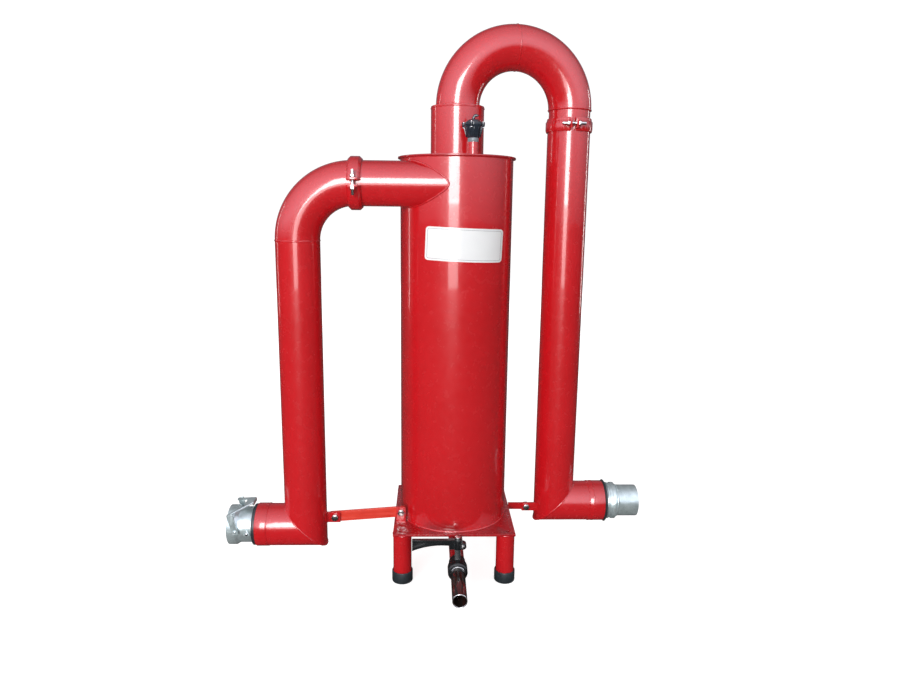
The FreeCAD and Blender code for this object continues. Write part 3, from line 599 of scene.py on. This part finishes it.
# %% Soften the edges that show
SOFTENED = [
    # The base plate and the lid take the darker red, which is painted shade.
    ("base_plate", 1.0, SHADED_RED, "red_paint", "separator"),
    ("vessel_lid", 1.0, SHADED_RED, "red_paint", "separator"),
    ("outlet_sleeve_cap", 1.0, RED, "red_paint", "separator"),
    ("inlet_end_ring", 0.8, RED, "red_paint", "separator"),
    ("outlet_end_ring", 0.8, RED, "red_paint", "separator"),
    ("inlet_clamp_band", 1.0, RED, "red_paint", "separator"),
    ("outlet_clamp_band", 1.0, RED, "red_paint", "separator"),
    ("inlet_brace_bar", 0.7, BRACE_RED, "brace_paint", "separator"),
    ("inlet_brace_pipe_tab", 0.7, RED, "red_paint", "separator"),
    ("inlet_brace_plate_tab", 0.7, RED, "red_paint", "separator"),
    ("outlet_brace_bar", 0.7, RED, "red_paint", "separator"),
    ("outlet_brace_pipe_tab", 0.7, RED, "red_paint", "separator"),
    ("inlet_coupling", 1.2, ZINC_CAST, "galvanised_steel", "separator"),
    ("outlet_spigot", 1.2, ZINC_CAST, "galvanised_steel", "separator"),
    ("inlet_gasket", 1.2, RUBBER, "black_rubber", "separator"),
    ("outlet_flare", 1.2, RUBBER, "black_rubber", "separator"),
    ("foot_caps", 1.6, RUBBER, "black_rubber", "separator"),
    ("drain_valve_body", 0.8, PLASTIC, "valve_plastic", "separator"),
    ("brace_bolts", 0.6, ZINC_BRIGHT, "bright_zinc", "separator"),
    ("inlet_clamp_bolt", 0.5, ZINC_BRIGHT, "bright_zinc", "separator"),
    ("outlet_clamp_bolt", 0.5, ZINC_BRIGHT, "bright_zinc", "separator"),
    ("drain_spout", 0.6, TUBE, "dark_tube", "separator"),
    ("air_valve_collar", 0.5, GREY_PLASTIC, "air_valve_grey", "separator"),
    ("latch_yoke", 0.8, ZINC_CAST, "galvanised_steel", "latch"),
    ("drain_lever", 0.8, PLASTIC, "valve_plastic", "lever"),
    ("drain_lever_bolts", 0.5, ZINC_BRIGHT, "bright_zinc", "lever"),
]
for node_name, width, material, slot, body in SOFTENED:
    softened(node_name, width * MM, material, body)
print("softened", len(SOFTENED), "nodes")

# %% [markdown]
# The outlet's clamp has a slimmer lip above its bulge. Two level cuts are made round the band, and the
# part above them is drawn in towards the pipe.

# %% Draw in the band's upper lip
LIP, SLOPE = 9 * MM, 1.5 * MM
DRAWN_IN = 0.965
band = bpy.data.objects["outlet_clamp_band_soft"]
band_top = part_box("outlet_clamp_band")[1].z
edit(band)
for level in (band_top - LIP, band_top - LIP + SLOPE):
    bpy.ops.mesh.select_all(action="SELECT")
    bpy.ops.mesh.bisect(plane_co=(0, 0, level), plane_no=(0, 0, 1))
bpy.ops.object.mode_set(mode="OBJECT")


def on_the_lip(vertex):
    """True for the band's outer wall above the cuts, and not for the bolt's ears."""
    away = math.hypot(vertex.co.x - outlet_riser.x, vertex.co.y - outlet_riser.y) - pipe_radius
    return vertex.co.z > band_top - LIP + 1 * MM and 2 * MM < away < 8 * MM


edit(band, "VERT", on_the_lip)
bpy.ops.transform.resize(value=(DRAWN_IN, DRAWN_IN, 1),
                         center_override=(outlet_riser.x, outlet_riser.y, band_top))
bpy.ops.object.mode_set(mode="OBJECT")
print("lip drawn in")

# %% [markdown]
# ## Weld beads
# A welder lays a row of small overlapping puddles, so a bead is a ring with ripples. A torus is set on
# the seam, every other one of its slices is swelled, and a cloud texture makes it uneven.

# %% Make a ring of weld
RIPPLE, LUMPS = 3.2 * MM, 2.2 * MM
SWELL = 0.22
CLOUD = bpy.data.textures.new("weld_clouds", "CLOUDS")
CLOUD.noise_scale = 0.007
AROUND = 8


def lumpy(piece, strength):
    """Moves the surface in and out by a cloud texture."""
    finish_with(piece, "DISPLACE", texture=CLOUD, strength=strength, mid_level=0.5,
                texture_coords="LOCAL")


def ring_weld(name, centre, direction, radius, bead=2.2 * MM, stretch=1.0):
    """A round bead, or with a stretch along its own X an oval one, across a mitred corner."""
    slices = 2 * int(math.pi * radius / RIPPLE)
    bpy.ops.object.select_all(action="DESELECT")
    bpy.ops.mesh.primitive_torus_add(major_radius=radius, minor_radius=bead, major_segments=slices,
                                     minor_segments=AROUND)
    piece = bpy.context.object
    edit(piece, "VERT", lambda vertex: (vertex.index // AROUND) % 2 == 0)
    bpy.ops.transform.shrink_fatten(value=SWELL * bead)
    bpy.ops.mesh.select_all(action="SELECT")
    bpy.ops.transform.resize(value=(stretch, 1, 1), center_override=(0, 0, 0))
    bpy.ops.object.mode_set(mode="OBJECT")
    point_along(piece, direction)
    piece.location = centre
    done(piece, name, smooth=60)
    lumpy(piece, LUMPS)
    return dress(piece, RED)


print("ring weld ready")

# %% Weld round the upright pipes, the sleeve and the shell
UP = Vector((0, 0, 1))
ALONG_X = Vector((1, 0, 0))
DIP = 1.2 * MM
seam = pipe_radius - DIP
sleeve_low, sleeve_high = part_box("outlet_sleeve")
sleeve_radius = size("outlet_sleeve").x / 2
sleeve_cap_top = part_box("outlet_sleeve_cap")[1].z
LEVEL_WELDS = [
    ("weld_inlet_elbow", inlet_riser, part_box("inlet_elbow")[0].z, seam, 2.2),
    ("weld_outlet_neck", outlet_riser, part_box("outlet_neck")[1].z, seam - 0.4 * MM, 2.6),
    ("weld_sleeve_foot", sleeve, sleeve_low.z, sleeve_radius, 2.6),
    ("weld_sleeve_cap", sleeve, sleeve_cap_top, pipe_radius, 2.4),
    ("weld_sleeve_rim", sleeve, sleeve_high.z, sleeve_radius - DIP, 1.8),
    ("weld_shell_foot", vessel, shell_low.z, vessel_radius + 0.3 * MM, 3.0),
    ("weld_shell_lid", vessel, shell_high.z, vessel_radius - 0.5 * MM, 2.0),
]
for name, centre, height, radius, bead in LEVEL_WELDS:
    ring_weld(name, (centre.x, centre.y, height), UP, radius, bead * MM)
print("welded", len(LEVEL_WELDS), "level seams")

# %% Weld round the stubs' ends and the legs
for stub, ring, side in (("inlet_stub", "inlet_end_ring", 0), ("outlet_stub", "outlet_end_ring", 1)):
    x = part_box(stub)[side].x
    ring_weld("weld_" + stub, (x, middle(ring).y, middle(ring).z), ALONG_X, seam + 0.2 * MM)
outlet_ring_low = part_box("outlet_end_ring")[0]
outlet_ring_height = middle("outlet_end_ring").z
ring_weld("weld_outlet_ring", (outlet_ring_low.x + 12 * MM, outlet_stub.y, outlet_ring_height),
          ALONG_X, size("outlet_end_ring").z / 2 - DIP, 1.8 * MM)
for leg in ("leg_front_left", "leg_back_left", "leg_front_right", "leg_back_right"):
    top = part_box(leg)[1]
    ring_weld("weld_" + leg, (middle(leg).x, middle(leg).y, top.z), UP,
              size(leg).x / 2 - 0.3 * MM, 1.9 * MM)
print("stubs and legs welded")

# %% [markdown]
# The two lower corners are mitred: both pipes are cut at 45 degrees and joined on an oval seam. An
# oval is a circle that is stretched by the square root of two and then tilted.

# %% Lay the oval welds
for name, riser, height, lean in (("weld_inlet_mitre", inlet_riser, middle("inlet_end_ring").z, 1),
                                  ("weld_outlet_mitre", outlet_riser, middle("outlet_end_ring").z, -1)):
    ring_weld(name, (riser.x, riser.y, height), (lean, 0, 1), seam, stretch=math.sqrt(2))
print("oval welds laid")

# %% [markdown]
# The overhead bend is two elbows, welded at the crown. That seam is round and stands upright, square
# to the line from one riser to the other.

# %% Weld the bend's crown
crown_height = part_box("outlet_bend_rise")[1].z - pipe_radius
across = outlet_riser - sleeve
across.z = 0
crown = ((sleeve.x + outlet_riser.x) / 2, (sleeve.y + outlet_riser.y) / 2, crown_height)
ring_weld("weld_bend_crown", crown, across, seam)
print("crown welded at", round(crown_height, 4))

# %% [markdown]
# ## Welds along a line
# Where the inlet pipe meets the round shell, the seam is a saddle that no flat ring follows. Its
# points come from the two radii: round the pipe's circle, each point lies where the shell is. A curve
# with a round section follows them and is turned into a mesh.

# %% Make a weld along points
THICK, THIN = 1.15, 0.88


def line_weld(name, points, bead, closed=False):
    """A bead through the points, thick and thin by turns."""
    path = bpy.data.curves.new(name, "CURVE")
    path.dimensions, path.use_fill_caps = "3D", True
    path.bevel_depth, path.bevel_resolution = bead, 2
    run = path.splines.new("POLY")
    run.points.add(len(points) - 1)
    run.use_cyclic_u = closed
    for index, (point, place) in enumerate(zip(run.points, points)):
        point.co = (*place, 1)
        point.radius = THICK if index % 2 else THIN
    piece = bpy.data.objects.new(name, path)
    bpy.context.scene.collection.objects.link(piece)
    only(piece)
    bpy.ops.object.convert(target="MESH")
    piece = bpy.context.object
    done(piece, name, smooth=60)
    lumpy(piece, 2.0 * MM)
    return dress(piece, RED)


print("line weld ready")

# %% Weld the inlet pipe to the shell
STEPS, PROUD = 110, 0.5 * MM
saddle = []
for step in range(STEPS):
    turn = 2 * math.pi * step / STEPS
    y = inlet_axis.y + (pipe_radius + PROUD) * math.sin(turn)
    z = inlet_axis.z + (pipe_radius + PROUD) * math.cos(turn)
    deep = max((vessel_radius + PROUD) ** 2 - (y - vessel.y) ** 2, 0)
    saddle.append((vessel.x - math.sqrt(deep), y, z))
line_weld("weld_inlet_saddle", saddle, 2.4 * MM, closed=True)
print("saddle weld laid over", STEPS, "points")

# %% [markdown]
# The tabs are welded to the pipes and to the plate with short straight runs.

# %% Weld the tabs
def straight(start, end):
    """Points from start to end, one for each ripple."""
    start, end = Vector(start), Vector(end)
    count = max(int((end - start).length / RIPPLE), 3)
    return [start.lerp(end, index / count) for index in range(count + 1)]


plate_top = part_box("base_plate")[1].z
tab_low, tab_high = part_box("inlet_brace_plate_tab")
line_weld("weld_plate_tab", straight((tab_low.x, tab_low.y, plate_top),
                                     (tab_high.x, tab_low.y, plate_top)), 2.6 * MM)
tab_low, tab_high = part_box("inlet_brace_pipe_tab")
surface = inlet_riser.x + pipe_radius
line_weld("weld_inlet_tab", straight((surface, tab_low.y, tab_low.z),
                                     (surface, tab_low.y, tab_high.z)), 2.4 * MM)
tab_low, tab_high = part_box("outlet_brace_pipe_tab")
reach = math.sqrt(pipe_radius ** 2 - (tab_low.y - outlet_riser.y) ** 2)
surface = outlet_riser.x - reach
line_weld("weld_outlet_tab", straight((surface, tab_low.y, tab_low.z),
                                      (surface, tab_low.y, tab_high.z)), 2.4 * MM)
print("tab welds laid")

# %% [markdown]
# ## The blank label
# A printed film sticks to the shell's front. Here it is blank, with only a thin line inside its edge.
# A plane gets rounded corners from a bevel of its corner points and upright cuts from bisect, so that
# it can bend, and a shrinkwrap lays it on the shell. Solidify gives the film its thickness.

# %% Make a film
LABEL_LEFT, LABEL_RIGHT = math.radians(-33.3), math.radians(51.0)
LABEL_HEIGHT, LABEL_MIDDLE, LABEL_TILT = 84.5 * MM, 918.9 * MM, math.radians(-2.2)
FILM_THICKNESS, CUTS = 0.3 * MM, 44


def film(name, inset, lift, material, corner, frame_width=0.0):
    """A sheet on the shell's front, or with a frame width just a line round it."""
    left = vessel_radius * math.sin(LABEL_LEFT) + inset
    right = vessel_radius * math.sin(LABEL_RIGHT) - inset
    bpy.ops.object.select_all(action="DESELECT")
    bpy.ops.mesh.primitive_plane_add(size=1, rotation=(math.radians(90), 0, 0))
    piece = bpy.context.object
    piece.scale = (right - left, LABEL_HEIGHT - 2 * inset, 1)
    bpy.ops.object.transform_apply(location=True, rotation=True, scale=True)
    edit(piece, "VERT")
    bpy.ops.mesh.bevel(offset=corner, affect="VERTICES", segments=5)
    if frame_width:
        bpy.ops.mesh.select_all(action="SELECT")
        bpy.ops.mesh.inset(thickness=frame_width, depth=0)
        bpy.ops.mesh.delete(type="FACE")
    for cut in range(1, CUTS):
        x = (right - left) * (cut / CUTS - 0.5)
        bpy.ops.mesh.select_all(action="SELECT")
        bpy.ops.mesh.bisect(plane_co=(x, 0, 0), plane_no=(1, 0, 0))
    bpy.ops.object.mode_set(mode="OBJECT")
    piece.rotation_euler = (0, -LABEL_TILT, 0)
    piece.location = ((left + right) / 2 + vessel.x, shell_low.y - 0.02, LABEL_MIDDLE)
    bpy.ops.object.transform_apply(location=True, rotation=True, scale=True)
    finish_with(piece, "SHRINKWRAP", target=nodes["vessel_shell"], wrap_method="PROJECT",
                use_project_y=True, use_positive_direction=True, use_negative_direction=False,
                offset=lift)
    finish_with(piece, "SOLIDIFY", thickness=FILM_THICKNESS, offset=0)
    done(piece, name, smooth=40)
    return dress(piece, material)


print("film maker ready")

# %% Stick on the label
film("label", inset=0.0, lift=0.7 * MM, material=LABEL, corner=8 * MM)
film("label_line", inset=4.5 * MM, lift=0.95 * MM, material=LABEL_LINE, corner=5 * MM,
     frame_width=0.9 * MM)
print("label on")

# %% [markdown]
# ## The air valve
# On the lid a small valve lets trapped air out. It is a ribbed plastic cup with a bolted dome and a
# hooked nozzle. The cup is turned, then a narrow strip of its side faces is pushed out at every
# twelfth of a turn, which makes the ribs.

# %% Turn the air valve's ribbed cup
RIB_EVERY, RIB_WIDE, RIB_PROUD = 30, 5, 2.0 * MM
cup_low, cup_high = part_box("air_valve_body")
axis = Vector((air_valve.x, air_valve.y, 0))
cup_height = cup_high.z - cup_low.z
cup = turned("air_valve_cup", axis + Vector((0, 0, cup_low.z)), UP,
             [(0, 14.5 * MM), (2 * MM, 16 * MM), (0.30 * cup_height, 18.5 * MM),
              (0.52 * cup_height, 20.5 * MM), (0.72 * cup_height, 21.8 * MM),
              (0.80 * cup_height, 23.2 * MM), (cup_height, 23.2 * MM)], sides=72)
rib_low, rib_high = cup_low.z + 0.12 * cup_height, cup_low.z + 0.72 * cup_height


def on_a_rib(face):
    """True for a narrow strip of side faces at every twelfth of a turn."""
    turn = math.degrees(math.atan2(face.center.y - axis.y, face.center.x - axis.x)) % RIB_EVERY
    return rib_low < face.center.z < rib_high and turn < RIB_WIDE and abs(face.normal.z) < 0.9


edit(cup, "FACE", on_a_rib)
bpy.ops.mesh.extrude_region_shrink_fatten(TRANSFORM_OT_shrink_fatten={"value": RIB_PROUD})
bpy.ops.object.mode_set(mode="OBJECT")
rounded(cup, 0.35 * MM, 35)
done(cup)
dress(cup, GLOSS_BLACK, replaces=["air_valve_body"])
print("cup turned with", 360 // RIB_EVERY, "ribs")

# %% Turn the air valve's dome
cap_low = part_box("air_valve_cap")[0]
dome = turned("air_valve_dome", axis + Vector((0, 0, cap_low.z)), UP,
              [(0, 22 * MM), (2.5 * MM, 22 * MM), (3.2 * MM, 20 * MM), (6.2 * MM, 18 * MM),
               (8.8 * MM, 14 * MM), (10.4 * MM, 9.5 * MM), (11.0 * MM, 6.5 * MM),
               (11.6 * MM, 5.5 * MM)], sides=64, bevel=0.4 * MM)
dress(dome, GLOSS_BLACK, replaces=["air_valve_cap"])
print("dome turned")

# %% [markdown]
# The nozzle leaves the dome, leans and hooks over to the right. It is a ring of faces that is extruded
# and turned a little at each step, as a plumber bends a pipe.

# %% Bend the nozzle
NOZZLE_BENDS = ((3.0, 12), (3.2, 22), (3.4, 30), (3.4, 34), (3.2, 30), (2.6, 20))
place = axis + Vector((0, 0, cap_low.z + 9 * MM))
bpy.ops.object.select_all(action="DESELECT")
bpy.ops.mesh.primitive_circle_add(vertices=20, radius=3.9 * MM, fill_type="NGON", location=place)
nozzle = bpy.context.object
bpy.ops.object.transform_apply(location=True)
edit(nozzle)
heading = 0.0
for length, bend in NOZZLE_BENDS:
    stride = Vector((math.sin(heading), 0, math.cos(heading))) * length * MM
    bpy.ops.mesh.extrude_region_move(TRANSFORM_OT_translate={"value": stride})
    place = place + stride
    bpy.ops.transform.rotate(value=math.radians(-bend), orient_axis="Y", center_override=place)
    heading += math.radians(bend)
bpy.ops.object.mode_set(mode="OBJECT")
rounded(nozzle, 0.5 * MM, 50)
done(nozzle, "air_valve_nozzle", smooth=50)
dress(nozzle, GLOSS_BLACK)
print("nozzle top at", round(max(v.co.z for v in nozzle.data.vertices), 4))

# %% [markdown]
# Four screws hold the dome, each through an ear with a nut below. They are the same turned shapes at
# four places, each with its own mesh.

# %% Set the ears and screws
EAR_REACH, FIRST_EAR = 24.5 * MM, -15
EAR = [(0, 2.2), (3, 4.4), (9, 4.8), (11.5, 4.8)]
SCREW = [(0, 3.4), (1.2, 3.4), (2.2, 2.2), (2.3, 1.4), (1.4, 1.2)]
NUT = [(0, 3.2), (2.6, 3.2)]


def in_mm(rings):
    return [(far * MM, wide * MM) for far, wide in rings]


for index in range(4):
    turn = math.radians(FIRST_EAR + 90 * index)
    at = axis + Vector((math.cos(turn), math.sin(turn), 0)) * EAR_REACH
    ear = turned(f"air_valve_ear_{index}", at + Vector((0, 0, cup_high.z - 9 * MM)), UP,
                 in_mm(EAR), sides=24, bevel=0.4 * MM)
    dress(ear, GLOSS_BLACK)
    screw = turned(f"air_valve_screw_{index}", at + Vector((0, 0, cup_high.z + 2.2 * MM)), UP,
                   in_mm(SCREW), sides=18)
    dress(screw, ZINC_BRIGHT)
    nut = turned(f"air_valve_nut_{index}", at + Vector((0, 0, cup_high.z - 11.5 * MM)), UP,
                 in_mm(NUT), sides=6, bevel=0.3 * MM)
    dress(nut, ZINC_BRIGHT)
print("four ears with screws")

# %% [markdown]
# ## Pins and rivets on the coupling
# The latch swings on two pins, whose heads show on the bell's sides. A small lug with a rivet holds
# the gasket's ring.

# %% Add the coupling's small fittings
yoke_low, yoke_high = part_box("latch_yoke")
bell_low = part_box("inlet_coupling")[0]
TUBE_RADIUS, LUG_DROP = 48 * MM, 5 * MM
PIN_IN, PIN_UP = 25 * MM, 4.5 * MM
gasket_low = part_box("inlet_gasket")[0]
coupling_axis = middle("inlet_gasket")
pin_x, pin_z = bell_low.x + PIN_IN, coupling_axis.z + PIN_UP
for side, name in ((-1, "front"), (1, "back")):
    face = yoke_low.y if side < 0 else yoke_high.y
    head = turned(f"latch_pin_head_{name}", (pin_x, face, pin_z), (0, side, 0),
                  in_mm([(-0.5, 4.6), (1.6, 4.6), (2.4, 3.2)]), sides=24, bevel=0.3 * MM)
    dress(head, ZINC_CAST)
lug_x, lug_z = gasket_low.x - 12 * MM, coupling_axis.z - LUG_DROP
tube_front = coupling_axis.y - TUBE_RADIUS
lug = turned("coupling_lug", (lug_x, tube_front + 2 * MM, lug_z), (0, -1, 0),
             in_mm([(0, 14), (4, 13), (6, 10.5)]), sides=3, bevel=2.0 * MM)
dress(lug, ZINC_CAST)
rivet = turned("coupling_rivet", (lug_x, tube_front - 3.8 * MM, lug_z), (0, -1, 0),
               in_mm([(0, 4.2), (1.4, 4.0), (2.6, 2.6), (3.0, 1.0)]), sides=24)
dress(rivet, ZINC_BRIGHT)
print("pins, lug and rivet set")

# %% [markdown]
# The outlet's spigot is rolled: a slim bright ring sits before its rib and a low ridge after it.

# %% Roll the spigot's rings
flare_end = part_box("outlet_flare")[1].x
spigot_axis = middle("outlet_flare")
RING = [(0, 50.4), (1.5, 52.6), (4.5, 53.2), (7, 52.2), (8.5, 50.4)]
RIDGE = [(0, 45.6), (2, 47.6), (4, 48.0), (6.5, 46.4), (8, 45.6)]
RING_WALL = 6.5 * MM
for name, past_flare, rings in (("spigot_ring", 2 * MM, RING), ("spigot_ridge", 28 * MM, RIDGE)):
    rolled = turned(name, (flare_end + past_flare, spigot_axis.y, spigot_axis.z), ALONG_X,
                    in_mm(rings), sides=72)
    edit(rolled, "FACE", lambda face: len(face.vertices) > 8)
    bpy.ops.mesh.inset(thickness=RING_WALL)
    bpy.ops.mesh.bridge_edge_loops()
    bpy.ops.object.mode_set(mode="OBJECT")
    done(rolled, smooth=50)
    dress(rolled, ZINC_CAST)
print("spigot rolled")

# %% [markdown]
# ## The drain
# The plastic valve grips a glossy tube. Where the tube leaves it, a bright zinc ring is a painted
# highlight on the valve's chamfer, and the tube's cut end shines.

# %% Paint the highlight on the drain valve's chamfer with a bright ring
tube_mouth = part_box("drain_spout")[0].y
spout_radius = size("drain_spout").z / 2
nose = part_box("drain_valve_body")[0].y
chamfer_highlight_ring = turned("drain_chamfer_highlight_ring", (spout.x, nose - 3.5 * MM, spout.z), (0, 1, 0),
                [(0, spout_radius + 0.2 * MM), (0.5 * MM, spout_radius + 0.8 * MM),
                 (1.8 * MM, spout_radius + 0.8 * MM), (4.0 * MM, spout_radius + 0.3 * MM)],
                sides=64)
dress(chamfer_highlight_ring, ZINC_BRIGHT)
print("tube ringed")

# %% Brighten the tube's cut end
bpy.ops.object.select_all(action="DESELECT")
bpy.ops.mesh.primitive_torus_add(major_radius=spout_radius - 1.4 * MM, minor_radius=1.5 * MM,
                                 major_segments=64, minor_segments=8,
                                 location=(spout.x, tube_mouth + 0.4 * MM, spout.z),
                                 rotation=(math.radians(90), 0, 0))
mouth = bpy.context.object
edit(mouth, "VERT", lambda vertex: vertex.co.z > 0)
bpy.ops.transform.shrink_fatten(value=-0.3 * MM)
bpy.ops.object.mode_set(mode="OBJECT")
done(mouth, "drain_mouth_ring", smooth=60)
dress(mouth, ZINC_BRIGHT)
print("mouth ring set")

# %% [markdown]
# ## The floor
# The object stands on a plain pale floor that fades into a white room. It takes only the soft shadows
# under the feet. It glows a little to the camera, so that it looks as white as the room, and it is
# dark to reflections, so that it doesn't veil the red of the pipes.

# %% Lay the floor
FLOOR_SIZE, FLOOR_GLOW = 80, 0.80
FLOOR_TONE, FLOOR_IN_GLOSS = 0.62, 0.07
bpy.ops.object.select_all(action="DESELECT")
bpy.ops.mesh.primitive_grid_add(x_subdivisions=4, y_subdivisions=4, size=FLOOR_SIZE)
floor = bpy.context.object
floor.name = "floor"
pale = bpy.data.materials.new("pale_floor")
pale.use_nodes = True
tree = pale.node_tree
shader = tree.nodes["Principled BSDF"]
shader.inputs["Roughness"].default_value = 1.0
shader.inputs["Specular IOR Level"].default_value = 0.0
glow = node(tree, "Emission")
seen = node(tree, "LightPath")
dim = span(tree, seen.outputs["Is Glossy Ray"], 0.0, 1.0, FLOOR_TONE, FLOOR_IN_GLOSS)
tree.links.new(dim, shader.inputs["Base Color"])
to_camera = math_node(tree, "MULTIPLY", seen.outputs["Is Camera Ray"], FLOOR_GLOW)
tree.links.new(to_camera, glow.inputs["Strength"])
both = node(tree, "AddShader")
tree.links.new(shader.outputs[0], both.inputs[0])
tree.links.new(glow.outputs[0], both.inputs[1])
tree.links.new(both.outputs[0], tree.nodes["Material Output"].inputs["Surface"])
floor.data.materials.append(pale)
print("floor laid")

# %% [markdown]
# ## The room
# A studio looks different to the camera, to a gloss and to a dull surface. The camera sees plain
# white. Gloss sees a room that is dim below, bright above and dark at its back, which gives the
# enamel its long highlights. Dull surfaces get a soft light from all round. Light Path tells which
# ray is asking, so one world can be all three.

# %% Build the room
SHINE = [(0.0, 0.02), (0.38, 0.05), (0.475, 0.22), (0.515, 0.75), (0.60, 2.0), (0.80, 2.0), (1.0, 1.5)]
SOFT = [(0.0, 0.24), (0.5, 0.38), (1.0, 0.58)]
PLAIN = [(0.0, 1.0), (1.0, 1.0)]
COOL = (1.0, 1.0, 1.14)
world = bpy.data.worlds.new("room")
bpy.context.scene.world = world
world.use_nodes = True
tree = world.node_tree
tree.nodes.clear()
parts = node(tree, "SeparateXYZ")
tree.links.new(node(tree, "TexCoord").outputs["Generated"], parts.inputs[0])
height = span(tree, parts.outputs["Z"], -1.0, 1.0)


def room_part(stops, strength, tint=(1, 1, 1)):
    """A background whose brightness follows the height in the room."""
    ramp = node(tree, "ValToRGB")
    while len(ramp.color_ramp.elements) < len(stops):
        ramp.color_ramp.elements.new(0.5)
    for stop, (place, value) in zip(ramp.color_ramp.elements, stops):
        stop.position = place
        stop.color = (*(value * share for share in tint), 1)
    tree.links.new(height, ramp.inputs["Fac"])
    part = node(tree, "Background")
    tree.links.new(ramp.outputs["Color"], part.inputs["Color"])
    if isinstance(strength, float):
        part.inputs["Strength"].default_value = strength
    else:
        tree.links.new(strength, part.inputs["Strength"])
    return part.outputs[0]


def choose(factor, first, second):
    """The second background where the factor is 1, else the first."""
    mixed = node(tree, "MixShader")
    tree.links.new(factor, mixed.inputs["Fac"])
    tree.links.new(first, mixed.inputs[1])
    tree.links.new(second, mixed.inputs[2])
    return mixed.outputs[0]


path = node(tree, "LightPath")
front_to_back = span(tree, parts.outputs["Y"], -0.7, 0.5, 1.1, 0.08)
shine = room_part(SHINE, front_to_back, COOL)
soft = room_part(SOFT, 1.0)
white = room_part(PLAIN, 1.05)
lit = choose(path.outputs["Is Glossy Ray"], soft, shine)
shown = choose(path.outputs["Is Camera Ray"], lit, white)
tree.links.new(shown, node(tree, "OutputWorld").inputs["Surface"])
print("room built")

# %% [markdown]
# ## The lamps
# One lamp in front and one behind give soft light and no reflection. Two tall windows and two narrow
# strips do the opposite: they draw the highlights down the vessel and the pipes and light nothing.

# %% Set the lamps
LOOK_AT = Vector((vessel.x, vessel.y, 0.95))


def studio_light(name, azimuth, elevation, distance, wide, tall, brightness, soft=True, shine=True):
    """Azimuth 0 is the front, and a plus turns it towards -X. The light looks at LOOK_AT."""
    a, e = math.radians(azimuth), math.radians(elevation)
    away = Vector((-math.sin(a) * math.cos(e), -math.cos(a) * math.cos(e), math.sin(e)))
    lamp = bpy.data.lights.new(name, "AREA")
    lamp.shape, lamp.size, lamp.size_y = "RECTANGLE", wide, tall
    lamp.energy = brightness * math.pi * wide * tall
    lamp_object = bpy.data.objects.new(name, lamp)
    lamp_object.location = LOOK_AT + away * distance
    lamp_object.rotation_euler = away.to_track_quat("Z", "Y").to_euler()
    lamp_object.visible_camera = False
    lamp_object.visible_diffuse, lamp_object.visible_glossy = soft, shine
    bpy.context.scene.collection.objects.link(lamp_object)


studio_light("key", 24, 8, 7.0, 3.0, 3.0, 11.6, shine=False)
studio_light("window_high", 7, 13, 7.0, 2.6, 3.0, 15.0, soft=False)
studio_light("window_low", 7, -6, 7.0, 2.4, 1.8, 4.5, soft=False)
studio_light("left_strip", 112, 4, 5.0, 0.10, 3.0, 9.0, soft=False)
studio_light("right_strip", -118, 4, 5.0, 0.14, 3.0, 16.0, soft=False)
studio_light("back", 180, 20, 7.0, 3.0, 3.0, 5.0, shine=False)
bpy.context.scene.view_settings.view_transform = "Standard"
bpy.context.scene.view_settings.look = "None"
print("lamps set")
